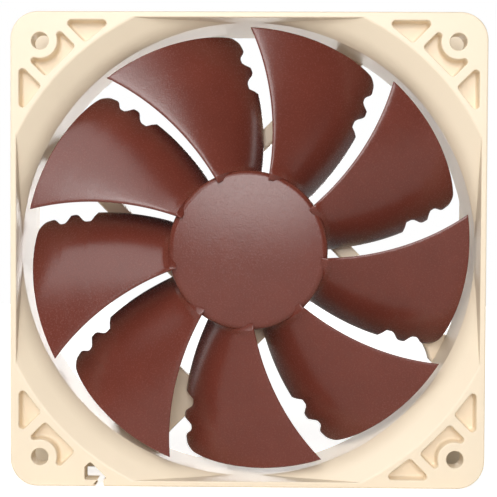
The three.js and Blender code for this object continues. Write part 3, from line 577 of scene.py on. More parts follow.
def white_acetal():
    """Acetal, machined or moulded: milky white with a waxy sheen."""
    return moulded("moulded_white_acetal", linear("#e4e1d8"), 0.34, 0.3 * MM, 0.12, 0.02, 1.48)


def black_nylon():
    """Glass-filled nylon, moulded: near black, with fibres that dull it in streaks."""
    return moulded("moulded_black_nylon", linear("#26262a"), 0.5, 0.25 * MM, 0.35, 0.08, 1.53)


def moulded_epoxy():
    """Transfer-moulded epoxy: matt charcoal with a fine even grain."""
    return moulded("moulded_epoxy", linear("#232325"), 0.55, 0.12 * MM, 0.3, 0.05, 1.6)


def fired_ceramic():
    """Fired barium titanate: tan, smooth and slightly glossy, with specks."""
    return moulded("fired_ceramic", linear("#9a8262"), 0.4, 0.15 * MM, 0.15, 0.08, 1.7)


def solder_mask(colours):
    """Epoxy solder mask over etched copper: glossy green, lighter where a copper arc runs beneath it."""
    material, tree, shader, where = blank("solder_mask_on_copper")
    centred = add(tree, "ShaderNodeMapping", inputs={"Vector": where, "Location": (0, 0, -AXIS_Z)}).outputs[0]
    rings = {"Vector": centred, "Scale": 0.16 / MM, "Distortion": 1.5, "Detail": 1.0, "Detail Scale": 1.0}
    tracks = {"wave_type": "RINGS", "rings_direction": "Y"}
    copper = add(tree, "ShaderNodeTexWave", tracks, rings).outputs["Fac"]
    edge = spread(tree, copper, 0, 1, 0.45, 0.55)
    tone = mixed(tree, edge, shaded(colours.board, 0.72), shaded(colours.board, 1.15))
    tree.links.new(tone, shader.inputs["Base Color"])
    relief = add(tree, "ShaderNodeBump", inputs={"Height": edge, "Strength": 0.6, "Distance": 0.03 * MM})
    tree.links.new(relief.outputs["Normal"], shader.inputs["Normal"])
    tree.links.new(spread(tree, noise(tree, where, 0.5 * MM), 0.22, 0.36), shader.inputs["Roughness"])
    shader.inputs["IOR"].default_value = 1.55
    return material


def label_film(colours):
    """Brushed silver polyester film, blank: satin, with hair-fine lines across."""
    return metal("satin_polyester_film", colours.label, 0.42, 0.3 * MM, (0.03, 1, 1), 0.1, 0.03)


# ---- frame


def from_hole(sizes, u, w):
    """Plan point u inwards along X and w inwards along Z from the screw hole of the corner at (+, +)."""
    reach = HALF_SIDE - sizes.hole_inset
    return reach - u, reach - w


def duct_radius(sizes):
    return HALF_SIDE - sizes.wall


def flanges_and_barrel(sizes):
    """Two rounded square plates with the round barrel between them."""
    square = rectangle(HALF_SIDE, HALF_SIDE, sizes.corner_radius, steps=16)
    inner_round = 0.3 * MM
    plates = [
        plate_levels(0, sizes.flange, sizes.edge_round, inner_round),
        plate_levels(FULL_DEPTH - sizes.flange, FULL_DEPTH, inner_round, sizes.edge_round),
    ]
    front, rear = [build("frame_shell", shell(stack(square, levels))) for levels in plates]
    inset = 1 * MM
    drum = circle(HALF_SIDE - 0.05 * MM, 288)
    barrel = build("barrel", shell(stack(drum, [(inset, 0), (FULL_DEPTH - inset, 0)])))
    return combine(front, "UNION", rear, barrel)


def air_passage(sizes):
    """The hollow of the duct: a bellmouth, a straight bore and an outlet flare spun about the axis, held
    inside a square prism whose walls lean in by 0.44 mm from the intake to the exhaust."""
    bore = duct_radius(sizes)
    mouth = bore + sizes.mouth
    flare = bore + OUTLET_FLARE
    beyond = 3 * MM
    profile = rounded_path(
        [
            (mouth + beyond, 0),
            (mouth, 0, 1.3 * MM),
            (bore + 0.16 * sizes.mouth, 0.62 * sizes.mouth_depth, 9.2 * MM),
            (bore, sizes.mouth_depth, 0.5 * MM),
            (bore, FULL_DEPTH - sizes.flange - PAST, 3 * MM),
            (flare, FULL_DEPTH, sizes.lip_round),
            (flare + beyond, FULL_DEPTH),
        ],
        closed=False,
        steps=8,
    )[1:-1]
    before = [(0, -PAST), (profile[0][0], -PAST)]
    behind = [(profile[-1][0], FULL_DEPTH + PAST), (0, FULL_DEPTH + PAST)]
    spun = build("spun_passage", shell(lathe(np.concatenate([before, profile, behind]), 288)))
    half_front = HALF_SIDE - SIDE_WALL_FRONT
    half_rear = HALF_SIDE - SIDE_WALL_REAR
    lean = (half_rear - half_front) / FULL_DEPTH
    levels = [(depth, amount + lean * depth) for depth, amount in through_levels(sizes.lip_round)]
    prism = build("passage_sides", shell(stack(rectangle(half_front, half_front, 1 * MM, 3), levels)))
    return combine(spun, "INTERSECT", prism)


def middle_pocket(sizes):
    """The pocket beside a screw boss, in the corner at (+, +): a band across the diagonal whose outer
    side follows the boss. Each end is an arc of radius q tangent to the band's side and to the boss, so
    its centre lies at sqrt((boss + q)^2 - (half - q)^2) along the diagonal."""
    half, q, corner = POCKET_HALF * MM, 0.8 * MM, POCKET_ROUND * MM
    hole = HALF_SIDE - sizes.hole_inset
    near = hole * math.sqrt(2) - (duct_radius(sizes) + sizes.mouth + MIDDLE_POCKET_WALL * MM)
    across = half - q
    along = math.sqrt((sizes.boss + q) ** 2 - across**2)
    meet = math.atan2(across, along)
    right = math.pi / 2
    outline = np.concatenate(
        [
            arc(sizes.boss, -meet, meet, 20),
            arc(q, math.pi + meet, right, 12, along, across)[1:],
            arc(corner, right, 0, 6, near - corner, half - corner),
            arc(corner, 0, -right, 6, near - corner, corner - half),
            arc(q, -right, -math.pi - meet, 12, along, -across)[:-1],
        ]
    )
    along, across = outline.T
    diagonal = np.stack([along + across, along - across], 1) / math.sqrt(2)
    return hole - diagonal


def side_pocket(sizes, mirrored):
    """The three-sided pocket between the rib, the outer rim and the bellmouth. It runs along the top side
    of the corner at (+, +), and mirrored along its other side."""
    rib = (POCKET_HALF + POCKET_RIB) * MM * math.sqrt(2)
    rim = POCKET_RIM * MM - sizes.hole_inset
    hole = HALF_SIDE - sizes.hole_inset
    wall = duct_radius(sizes) + sizes.mouth + POCKET_WALL * MM
    facing = math.radians(POCKET_FACING)
    c, s = math.cos(facing), math.sin(facing)
    reach = hole - (wall - (hole - rim) * s) / c
    apex = hole - (wall + rib * c) / (c + s)
    corners = [(rib + rim, rim), (reach, rim), (rib + apex, apex)]
    placed = [from_hole(sizes, w, u) if mirrored else from_hole(sizes, u, w) for u, w in corners]
    return rounded_path([(x, z, POCKET_ROUND * MM) for x, z in placed])


def pocket_cutters(sizes):
    """All pockets. The corner with the cable notch has none along its lower side."""
    levels = pocket_levels(sizes.pocket_depth, 0.35 * MM, 0.6 * MM, 0.06 * MM)
    shells = []
    for corner in range(4):
        outlines = [middle_pocket(sizes), side_pocket(sizes, True)]
        if corner != 2:
            outlines.append(side_pocket(sizes, False))
        shells += [shell(stack(rotated(o, corner * AROUND / 4), levels)) for o in outlines]
    return build("pockets", *shells)


def screw_cutters(sizes):
    """The four screw holes, with a broken edge at both faces."""
    reach = HALF_SIDE - sizes.hole_inset
    holes = [circle(sizes.hole_radius, 48, x, z) for x in (-reach, reach) for z in (-reach, reach)]
    return build("screw_holes", *[shell(stack(hole, through_levels(0.3 * MM))) for hole in holes])


def notch_cutter(sizes):
    """The hooked cable notch through the lower side of both flanges."""
    hole = HALF_SIDE - sizes.hole_inset
    mouth = -sizes.hole_inset / MM - 1
    hook = [
        (11.4, -5.8, 0.35),
        (11.4, -2.5, 0.35),
        (12.8, -1.2, 0.4),
        (17.0, -5.3, 0.3),
        (16.1, -5.9, 0.35),
        (16.4, mouth, 0.1),
        (13.5, mouth, 0.1),
        (15.1, -5.2, 0.3),
        (14.6, -5.8, 0.25),
    ]
    corners = [(u * MM - hole, w * MM - hole, radius * MM) for u, w, radius in hook]
    return build("notch", shell(stack(rounded_path(corners, steps=4), through_levels(0.15 * MM))))


def strut_point(sizes, along, across):
    """A point beside the first strut's centre line, which passes the axis at strut_offset."""
    offset = sizes.strut_offset + across
    return (along + offset) / math.sqrt(2), (offset - along) / math.sqrt(2)


def strut_reach(sizes, across=0.0):
    """How far along the strut line, or a line beside it, the middle of the duct's wall lies."""
    return math.sqrt((duct_radius(sizes) + sizes.wall / 2) ** 2 - (sizes.strut_offset + across) ** 2)


def strut_bar(sizes, start, low, high):
    """A bar along the strut line whose sides splay out as a square law over the last 7 mm before the duct."""
    share = np.linspace(0, 1, 9)
    along = strut_reach(sizes) - GUSSET_LENGTH * (1 - share)
    splay = GUSSET * share**2
    edge = low - GUSSET
    inner = [(start, low), *zip(along, low - splay), (strut_reach(sizes, edge), edge)]
    outer = [(start, high), *zip(along, high + splay)]
    return np.array([strut_point(sizes, a, b) for a, b in inner + outer[::-1]])


def base_front(sizes):
    return FULL_DEPTH - sizes.strut


def struts(sizes):
    """Four struts, and on the one by the cable notch a wide hood over the wires."""
    half = sizes.strut / 2
    levels = plate_levels(base_front(sizes), FULL_DEPTH, 0.7 * MM, 0.35 * MM)
    bars = [rotated(strut_bar(sizes, 2 * MM, -half, half), k * AROUND / 4) for k in range(4)]
    hood = rotated(strut_bar(sizes, HOOD_START, -half - HOOD_WIDTH, half), 3 * AROUND / 4)
    first, *others = [build("strut", shell(stack(bar, levels))) for bar in bars + [hood]]
    return combine(first, "UNION", *others)


def wire_channel(sizes):
    """The channel that the wires lie in: along the hooded strut, and from there across to the cable notch."""
    half = WIRE_HALF
    begin, reach = 4 * MM, strut_reach(sizes) - 2 * half
    levels = [(FULL_DEPTH - WIRE_DEPTH, 0), (FULL_DEPTH + PAST, 0)]
    turn = 3 * AROUND / 4
    corners = [(begin, -half), (reach, -half), (reach, half), (begin, half)]
    run = np.array([strut_point(sizes, a, b) for a, b in corners])
    hole = HALF_SIDE - sizes.hole_inset
    start = rotated(np.array([strut_point(sizes, reach - half, 0)]), turn)[0]
    stop = np.array((13.4 * MM - hole, -3.4 * MM - hole))
    ahead = (stop - start) / np.linalg.norm(stop - start)
    aside = half * np.array((-ahead[1], ahead[0]))
    cross = np.array([start + aside, start - aside, stop - aside, stop + aside])
    along_strut = build("channel", shell(stack(rotated(run, turn), levels)))
    to_notch = build("channel_end", shell(stack(cross, levels)))
    return combine(along_strut, "UNION", to_notch)


def motor_base(sizes):
    """The cup that holds the motor, spun about the axis: rim, floor, boss for the bearing tube and the
    shallow recess for the label. Three posts stand on its floor."""
    tube = extent("bearing_tube")[0] + FIT
    front = base_front(sizes)
    bore = sizes.base - BASE_WALL
    recess = sizes.label + LABEL_GAP
    label_floor = FULL_DEPTH - LABEL_RECESS
    floor = label_floor - BASE_FLOOR
    profile = rounded_path(
        [
            (sizes.base, front, 0.35 * MM),
            (sizes.base, FULL_DEPTH, 0.4 * MM),
            (recess, FULL_DEPTH, 0.12 * MM),
            (recess, label_floor, 0.08 * MM),
            (tube, label_floor, 0.1 * MM),
            (tube, front, 0.15 * MM),
            (tube + 1.25 * MM, front, 0.25 * MM),
            (tube + 1.25 * MM, floor, 0.3 * MM),
            (bore, floor, 0.5 * MM),
            (bore, front, 0.3 * MM),
        ]
    )
    cup = build("motor_base", shell(lathe(profile, 192), True))
    board_radius, _, board_rear = extent("circuit_board")
    place = board_radius - 3 * MM
    levels = plate_levels(board_rear + FIT, label_floor - 0.2 * MM, 0.2 * MM, 0.01 * MM)
    angles = [math.radians(90 + 120 * k) for k in range(3)]
    posts = [circle(1.2 * MM, 24, place * math.cos(a), place * math.sin(a)) for a in angles]
    return combine(cup, "UNION", build("posts", *[shell(stack(post, levels)) for post in posts]))


def base_hollow(sizes):
    """The room in the motor base that the struts must leave free."""
    tube = extent("bearing_tube")[0]
    bore = sizes.base - BASE_WALL
    floor = FULL_DEPTH - HOLLOW_FLOOR
    label_floor = FULL_DEPTH - LABEL_RECESS
    recess = sizes.label + LABEL_GAP
    profile = [
        (0, 0),
        (bore, 0),
        (bore, floor),
        (tube, floor),
        (tube, label_floor),
        (recess, label_floor),
        (recess, FULL_DEPTH + PAST),
        (0, FULL_DEPTH + PAST),
    ]
    return build("base_hollow", shell(lathe(profile, 96)))


class FAN_OT_frame(bpy.types.Operator):
    """Builds the moulded frame: flanges, duct, pockets, screw holes, cable notch, struts and motor base"""

    bl_idname = "fan.frame"
    bl_label = "Frame"

    def execute(self, context):
        sizes = context.scene.fan_frame
        body = combine(flanges_and_barrel(sizes), "DIFFERENCE", air_passage(sizes))
        arms = combine(struts(sizes), "DIFFERENCE", base_hollow(sizes))
        combine(body, "UNION", arms, motor_base(sizes))
        combine(body, "DIFFERENCE", screw_cutters(sizes), pocket_cutters(sizes))
        combine(body, "DIFFERENCE", notch_cutter(sizes), wire_channel(sizes))
        finish(body, STATIC, [beige_pbt(context.scene.fan_colours)], ["frame"])
        return {"FINISHED"}


# ---- impeller


def span_of(sizes, radius):
    """Share of the way from the hub's side to the blade tips."""
    return (radius - sizes.hub) / (sizes.tip - sizes.hub)


def leading_angle(span):
    return 34.8 + 12.6 * span + 2.2 * span**2


def trailing_angle(span):
    return 0.2 + 7.4 * span + 5.8 * span**2


def notch_angle(span):
    """Degrees cut from the trailing edge: two bites, each a steep step followed by a cosine slope, and a
    round that grows as the square of the last 4.5 % of the span."""
    cut = 1.6 * np.clip((span - 0.955) / 0.045, 0, 1) ** 2
    for start, length, depth in NOTCHES:
        share = np.clip((span - start) / length, 0, 1)
        rise = np.clip(share / 0.14, 0, 1)
        rise = rise * rise * (3 - 2 * rise)
        fall = 0.5 + 0.5 * np.cos(math.pi * np.clip((share - 0.3) / 0.7, 0, 1))
        cut = cut + depth * rise * fall
    return cut


def blade_surface(sizes, radius, chord, front, rear):
    """Mean surface of a blade at a radius and a chord share, 0 at the trailing edge and 1 at the leading
    edge. Its angle runs evenly between the two edges. Its depth falls from rear to front as chord plus (1
    - chord) times the sum of 0.3 chord and a hook of 0.3 that dies away exponentially over 0.12 of the
    chord."""
    span = span_of(sizes, radius)
    nose = front - 0.8 * MM * np.exp(-np.maximum(0, radius - sizes.hub) / (1.5 * MM))
    hook = 0.3 * (1 - np.exp(-np.maximum(chord, -0.02) / 0.12))
    depth = rear - (rear - nose) * (chord + (0.3 * chord + hook) * (1 - chord))
    angle = np.radians(trailing_angle(span) + (leading_angle(span) - trailing_angle(span)) * chord)
    return np.stack([radius * np.cos(angle), FRONT + depth, radius * np.sin(angle) + AXIS_Z], -1)


def blade_rings(sizes, front, rear):
    """One blade as rings round its section, from inside the hub to the tip. The section is the mean
    surface moved along its own normal by half the thickness, which is 45 % at the edges and full in the
    middle, with both edges rounded off; it swells into the hub as an exponential fillet and closes over
    the last 0.4 mm before the tip."""
    sunk, edge = 1.7 * MM, 0.4 * MM
    root = sizes.hub - sunk
    rows, loop = 92, 28
    close = np.linspace(0, math.pi / 2, 6)[1:]
    radii = np.concatenate(
        [np.linspace(root, sizes.tip - edge, rows), sizes.tip - edge + edge * np.sin(close)]
    )
    shrink = np.concatenate([np.ones(rows), np.maximum(0.12, np.cos(close))])
    sweep = 0.5 - 0.5 * np.cos(math.pi * np.arange(loop + 1) / loop)
    chord = np.concatenate([sweep, sweep[-2:0:-1]])
    side = np.concatenate([np.ones(loop + 1), -np.ones(loop - 1)])
    radius = radii[:, None]
    span = np.clip(span_of(sizes, radius), 0, 1)
    first = notch_angle(span) / (leading_angle(span) - trailing_angle(span))
    at = first + (1 - first) * chord[None]
    step, reach = 0.01, 0.02 * MM
    radius_grid = np.broadcast_to(radius, at.shape)

    def surface(out, on):
        return blade_surface(sizes, radius_grid + out, at + on, front, rear)

    here = surface(0, 0)
    along = surface(reach, 0) - surface(-reach, 0)
    across = surface(0, step) - surface(0, -step)
    normal = np.cross(along, across)
    normal /= np.linalg.norm(normal, axis=-1, keepdims=True)
    full = sizes.root_thickness + (sizes.tip_thickness - sizes.root_thickness) * span
    swell = sizes.fillet * np.exp(-np.abs(radius - sizes.hub) / (0.6 * MM))
    taper = np.clip((radius - root) / sunk, 0, 1) ** 0.7
    body = 0.45 + 0.55 * np.sin(math.pi * chord)
    nose_round = np.sqrt(np.clip(1 - np.abs(2 * chord - 1) ** 26, 0, 1))
    inner = 1 - np.abs(2 * chord - 1) ** 4
    half = 0.5 * (full * body * nose_round + swell * inner) * taper * shrink[:, None]
    return here + normal * (half * side)[..., None]


def hub_profile(sizes):
    """Section of the hub: a slightly domed face, a quarter-round shoulder, the skirt, and inside it the
    boss that holds the shaft bush."""
    bush_radius, bush_front, boss_end = extent("shaft_bush")
    bore = extent("rotor_yoke")[0] + FIT
    bush = bush_radius + FIT
    face = HUB_SET_BACK
    inner = face + HUB_FACE
    boss = bush + BOSS_WALL
    edge = sizes.hub - sizes.shoulder
    radii = np.linspace(0, edge, 12)
    dome = [(r, face + sizes.dome * (r / edge) ** 2) for r in radii]
    turn = np.linspace(0, math.pi / 2, 9)
    rim = face + sizes.dome
    shoulder = [
        (edge + sizes.shoulder * math.sin(t), rim + sizes.shoulder * (1 - math.cos(t))) for t in turn[1:]
    ]
    inside = rounded_path(
        [
            (sizes.hub, rim + sizes.shoulder),
            (sizes.hub, SKIRT_END, 0.3 * MM),
            (bore, SKIRT_END, 0.25 * MM),
            (bore, inner, 0.3 * MM),
            (boss, inner, 0.3 * MM),
            (boss, boss_end, 0.25 * MM),
            (bush, boss_end, 0.15 * MM),
            (bush, bush_front - FIT, 0.1 * MM),
            (0, bush_front - FIT),
        ],
        closed=False,
    )[1:]
    return np.concatenate([dome, shoulder, inside])


class FAN_OT_impeller(bpy.types.Operator):
    """Builds the impeller: a cup-shaped hub with nine swept blades notched along their trailing edges"""

    bl_idname = "fan.impeller"
    bl_label = "Impeller"

    def execute(self, context):
        sizes = context.scene.fan_impeller
        struts_front = base_front(context.scene.fan_frame)
        body = build("impeller_moulding", shell(lathe(hub_profile(sizes), 180)))
        one = blade_rings(sizes, BLADE_FRONT, struts_front - BLADE_GAP)
        centre = np.array((0, 0, AXIS_Z))
        blades = []
        for k in range(sizes.blades):
            turn = k * AROUND / sizes.blades
            c, s = math.cos(turn), math.sin(turn)
            spin = np.array([[c, 0, s], [0, 1, 0], [-s, 0, c]])
            blades.append(build("blade", shell((one - centre) @ spin + centre)))
        combine(body, "UNION", *blades)
        finish(body, SPINNING, [brown_pbt(context.scene.fan_colours)], ["impeller"], sharp=38)
        return {"FINISHED"}


# ---- motor and bearing


def turned(name, corners):
    """A piece spun about the axis from a closed section of (radius, depth, round) corners."""
    return build(name, shell(lathe(rounded_path(corners, steps=4), 96), True))


def tube_section(inner, outer, front, rear, edge):
    """Section corners of a plain ring with all its edges broken."""
    return [(inner, front, edge), (outer, front, edge), (outer, rear, edge), (inner, rear, edge)]


def solid_of(corners):
    """A shell spun about the axis from an open section that starts and ends on the axis."""
    return shell(lathe(rounded_path(corners, closed=False, steps=4), 96))


def slab(x_from, x_to, half, front, rear, edge, turn):
    """A block with rounded edges, lying from x_from to x_to along a radius at the angle turn."""
    width = (x_to - x_from) / 2
    outline = rectangle(width, half, edge, steps=4) + np.array([(x_from + x_to) / 2, 0])
    return shell(stack(rotated(outline, turn), plate_levels(front, rear, edge * 0.6, edge * 0.6, steps=3)))


def pole_turns():
    return [k * AROUND / POLES for k in range(POLES)]


class FAN_OT_rotor(bpy.types.Operator):
    """Builds what turns with the impeller: yoke, ring magnet, bush, shaft, oil ring and lock ring"""

    bl_idname = "fan.rotor"
    bl_label = "Rotor"

    def execute(self, context):
        edge = context.scene.fan_motor.break_edge
        outer, front, rear = extent("rotor_yoke")
        eye = extent("shaft_bush")[0] + 1.95 * MM
        cup = turned(
            "drawn_yoke",
            [
                (eye, front, edge),
                (outer, front, 1.0 * MM),
                (outer, rear, edge),
                (outer - YOKE_SHEET, rear, edge),
                (outer - YOKE_SHEET, front + YOKE_SHEET, 0.4 * MM),
                (eye, front + YOKE_SHEET, edge),
            ],
        )
        finish(cup, SPINNING, [drawn_steel()], ["rotor_yoke"])
        outer, front, rear = extent("ring_magnet")
        ring = turned("ferrite_ring", tube_section(outer - MAGNET_WALL, outer, front, rear, 2 * edge))
        finish(ring, SPINNING, [sintered_ferrite()], ["ring_magnet"])
        outer, front, rear = extent("shaft_bush")
        middle, groove = (front + rear) / 2, 0.3 * MM
        bush = turned(
            "brass_bush",
            [
                (SHAFT_R + 0.03 * MM, front, edge),
                (outer, front, edge),
                (outer, middle - groove, 0.05 * MM),
                (outer - groove, middle - groove, 0.05 * MM),
                (outer - groove, middle + groove, 0.05 * MM),
                (outer, middle + groove, 0.05 * MM),
                (outer, rear, edge),
                (SHAFT_R + 0.03 * MM, rear, edge),
            ],
        )
        finish(bush, SPINNING, [turned_brass()], ["shaft_bush"])
        _, front, rear = extent("shaft")
        lock_front, lock_rear = extent("lock_ring")[1:]
        spare = (0.6 * MM - (lock_rear - lock_front)) / 2
        pin = [
            (0, front),
            (SHAFT_R, front, edge),
            (SHAFT_R, lock_front - spare, 0.04 * MM),
            (GROOVE_R, lock_front - spare, 0.06 * MM),
            (GROOVE_R, lock_rear + spare, 0.06 * MM),
            (SHAFT_R, lock_rear + spare, 0.04 * MM),
            (SHAFT_R, rear - 0.4 * MM, 0.2 * MM),
            (SHAFT_R / 2, rear - 0.1 * MM, 0.3 * MM),
            (0, rear),
        ]
        finish(build("ground_shaft", solid_of(pin)), SPINNING, [ground_steel()], ["shaft"])
        outer, front, rear = extent("oil_ring")
        ring = turned("oil_slinger", tube_section(SHAFT_R + 0.03 * MM, outer, front, rear, 0.15 * MM))
        finish(ring, SPINNING, [white_acetal()], ["oil_ring"])
        low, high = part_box("lock_ring")
        outer = (high.z - low.z) / 2
        half = math.asin(0.4 * MM / outer)
        inner = GROOVE_R + 0.05 * MM
        inner_half = math.asin(0.4 * MM / inner)
        outline = np.concatenate(
            [arc(outer, half, AROUND - half, 64), arc(inner, AROUND - inner_half, inner_half, 48)]
        )
        levels = plate_levels(low.y - FRONT, high.y - FRONT, 0.04 * MM, 0.04 * MM)
        finish(build("split_ring", shell(stack(outline, levels))), SPINNING, [white_acetal()], ["lock_ring"])
        return {"FINISHED"}


class FAN_OT_bearing(bpy.types.Operator):
    """Builds the bearing: brass tube pressed into the motor base, porous sleeve and thrust pad"""

    bl_idname = "fan.bearing"
    bl_label = "Bearing"

    def execute(self, context):
        edge = context.scene.fan_motor.break_edge
        sleeve, sleeve_front, sleeve_rear = extent("bearing_sleeve")
        outer, front, rear = extent("bearing_tube")
        inner = sleeve + 0.05 * MM
        floor = rear - 1.0 * MM
        cup = [
            (0, floor),
            (inner, floor, 0.1 * MM),
            (inner, front, edge),
            (outer, front, edge),
            (outer, rear, 2 * edge),
            (0, rear),
        ]
        finish(build("brass_tube", solid_of(cup)), STATIC, [turned_brass()], ["bearing_tube"])
        bore, lead = SHAFT_R + 0.04 * MM, 0.35 * MM
        ring = turned(
            "porous_sleeve",
            [
                (bore + lead, sleeve_front, edge),
                (sleeve - lead, sleeve_front, edge),
                (sleeve, sleeve_front + lead, edge),
                (sleeve, sleeve_rear, edge),
                (bore, sleeve_rear, edge),
                (bore, sleeve_front + lead, edge),
            ],
        )
        finish(ring, STATIC, [sintered_bronze()], ["bearing_sleeve"])
        outer, front, rear = extent("thrust_pad")
        pad = [(0, front), (outer, front, edge), (outer, rear, edge), (0, rear)]
        finish(build("thrust_disc", solid_of(pad)), STATIC, [white_acetal()], ["thrust_pad"])
        return {"FINISHED"}


# ---- stator


def core_ring_radius():
    return extent("bearing_tube")[0] + 3.3 * MM


def coil_start():
    return core_ring_radius() + 0.8 * MM


def star_outline():
    """Plan of a lamination: four arms from a ring, each ending in a shoe whose face is an arc about the
    axis. Half a shoe is a rounded path, and the other half is its mirror image in the arm's middle
    line."""
    ring = core_ring_radius()
    face = coil_start() + COIL_LENGTH + WINDING_GAP
    tip = extent("stator_core")[0]
    spread = math.asin(POLE_HALF / ring)
    wing = math.radians(SHOE_SPREAD)
    half = rounded_path(
        [
            (ring * math.cos(spread), -POLE_HALF),
            (face, -POLE_HALF, 0.3 * MM),
            (face, -POLE_HALF - 3.1 * MM, 0.3 * MM),
            ((tip - 1 * MM) * math.cos(wing), -(tip - 1 * MM) * math.sin(wing), 0.2 * MM),
            (tip * math.cos(wing), -tip * math.sin(wing)),
        ],
        closed=False,
        steps=4,
    )
    one = np.concatenate(
        [
            half,
            arc(tip, -wing, wing, 32)[1:-1],
            (half * np.array([1, -1]))[::-1],
            arc(ring, spread, AROUND / POLES - spread, 10)[1:-1],
        ]
    )
    return np.concatenate([rotated(one, turn) for turn in pole_turns()])


def sheet_levels(front, rear, sheet):
    """Levels of a stack of sheets: each sheet's edge stands 0.05 mm proud of the joint beside it."""
    count = round((rear - front) / sheet)
    joint, burr = 0.05 * MM, -0.05 * MM
    levels = []
    for k in range(count):
        start = front + k * (rear - front) / count
        stop = front + (k + 1) * (rear - front) / count
        levels += [(start, burr), (start + joint, 0), (stop - joint, 0)]
    return levels + [(rear, burr)]


def pin_places():
    """Plan angle of each terminal pin, halfway between two poles."""
    return [turn + AROUND / 8 for turn in pole_turns()]


def pin_radius():
    return core_ring_radius() + 1.7 * MM


def pin_holes(half):
    """Square cutters for the four pins, through everything along the depth."""
    radius = pin_radius()
    holes = [
        slab(radius - half, radius + half, half, 0, FULL_DEPTH, 0.05 * MM, turn) for turn in pin_places()
    ]
    return build("pin_holes", *holes)


def insulator(node, facing):
    """A moulded insulator: an inner ring wall, four arms and four flange walls; the rear one has four
    ears that hold the terminal pins."""
    low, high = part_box(node)
    front, rear = low.y - FRONT, high.y - FRONT
    plate = 0.8 * MM
    contact, away = (rear, front) if facing < 0 else (front, rear)
    ring = core_ring_radius()
    flange = coil_start() + COIL_LENGTH + WINDING_GAP
    short = away - facing * 0.3 * MM

    def between(height):
        return sorted((contact, contact + facing * height))

    wall = sorted((contact, short))
    inner = extent("bearing_tube")[0] + 0.4 * MM
    edge = 0.15 * MM
    parts = [turned("insulator_ring", tube_section(ring - 0.2 * MM, coil_start() - WINDING_GAP, *wall, edge))]
    parts.append(turned("insulator_plate", tube_section(inner, ring, *between(plate), edge)))
    for turn in pole_turns():
        arm = slab(ring - 0.3 * MM, flange + 0.4 * MM, POLE_HALF + 0.35 * MM, *between(plate), 0.2 * MM, turn)
        parts.append(build("arm", arm))
        end = slab(flange, flange + plate, 5.1 * MM, *sorted((contact, away)), 0.2 * MM, turn)
        parts.append(build("flange_wall", end))
    if facing > 0:
        for turn in pin_places():
            ear = slab(ring - 0.1 * MM, ring + 2.7 * MM, 1.2 * MM, *wall, 0.3 * MM, turn)
            parts.append(build("ear", ear))
    first, *others = parts
    whole = combine(first, "UNION", *others)
    whole.name = node + "_moulding"
    if facing > 0:
        combine(whole, "DIFFERENCE", pin_holes(0.35 * MM))
    return whole


def winding_section(length, thickness, wire):
    """Section of a winding as shares (along, out) of its length and thickness. Each turn of wire bulges
    out of the outer side, and each layer out of the two ends, as a half ellipse one wire wide."""
    turns, layers = round(length / wire), round(thickness / wire)
    t = np.linspace(-1, 1, 7)[:-1]
    bulge = np.sqrt(1 - t**2) - 1
    along = ((np.arange(turns)[:, None] + (t + 1) / 2) / turns).ravel()
    crest = np.tile(bulge, turns) * 0.5 * wire / thickness
    side = np.stack([along, 1 + crest], 1)
    out = ((np.arange(layers)[:, None] + (t + 1) / 2) / layers).ravel()
    hollow = -np.tile(bulge, layers) * 0.5 * wire / length
    rise = np.stack([hollow, out], 1)
    fall = np.stack([1 - hollow, 1 - out], 1)
    return np.concatenate([rise, side, fall])


def coil(k, sizes):
    """A winding round one arm. Each ring of the mesh runs round the arm between an inner and an outer rounded
    rectangle, at the share that the section gives."""
    low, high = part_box("coil_1")
    middle = (low.y + high.y) / 2 - FRONT
    reach = (high.y - low.y) / 2
    inner_half = POLE_HALF + 0.5 * MM
    inner = rectangle(inner_half, reach - 1.6 * MM, 0.3 * MM, steps=7)
    outer = rectangle((high.z - low.z) / 2, reach, 1.6 * MM, steps=7)
    section = winding_section(high.x - low.x, outer[:, 0].max() - inner_half, sizes.wire)
    loops = inner[None] + (outer - inner)[None] * section[:, 1, None, None]
    x = low.x + (high.x - low.x) * section[:, 0, None]
    plan = np.stack([np.broadcast_to(x, loops.shape[:2]), loops[..., 0]], -1)
    plan = rotated(plan.reshape(-1, 2), pole_turns()[k]).reshape(plan.shape)
    points = np.stack([plan[..., 0], FRONT + middle + loops[..., 1], plan[..., 1] + AXIS_Z], -1)
    return build(f"winding_{k + 1}", shell(points, True))


def terminal_pin(k):
    """A square pin with a chamfered tip, and a cone of solder where it comes through the board: the
    cone's radius falls as the square of the way to its top."""
    radius, half = pin_radius(), 0.3 * MM
    turn = pin_places()[k]
    low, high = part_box(f"terminal_pin_{k + 1}")
    board_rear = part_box("circuit_board")[1].y - FRONT
    square = rotated(rectangle(half, half, 0.06 * MM, steps=3) + np.array([radius, 0]), turn)
    front, rear = low.y - FRONT, high.y - FRONT
    taper = 0.15 * MM
    levels = [(front, -taper), (front + taper, 0), (rear - taper, 0), (rear, -taper)]
    pin = build(f"tinned_pin_{k + 1}", shell(stack(square, levels)))
    share = np.linspace(0, 1, 6)
    cone = [(0, 0), *zip(0.32 * MM + 0.55 * MM * (1 - share) ** 2, 0.36 * MM * share), (0, 0.36 * MM)]
    rings = lathe([(r, board_rear + 0.01 * MM + h) for r, h in cone], 24)
    rings = rings + np.array([radius * math.cos(turn), 0, radius * math.sin(turn)])
    return combine(pin, "UNION", build("solder", shell(rings)))


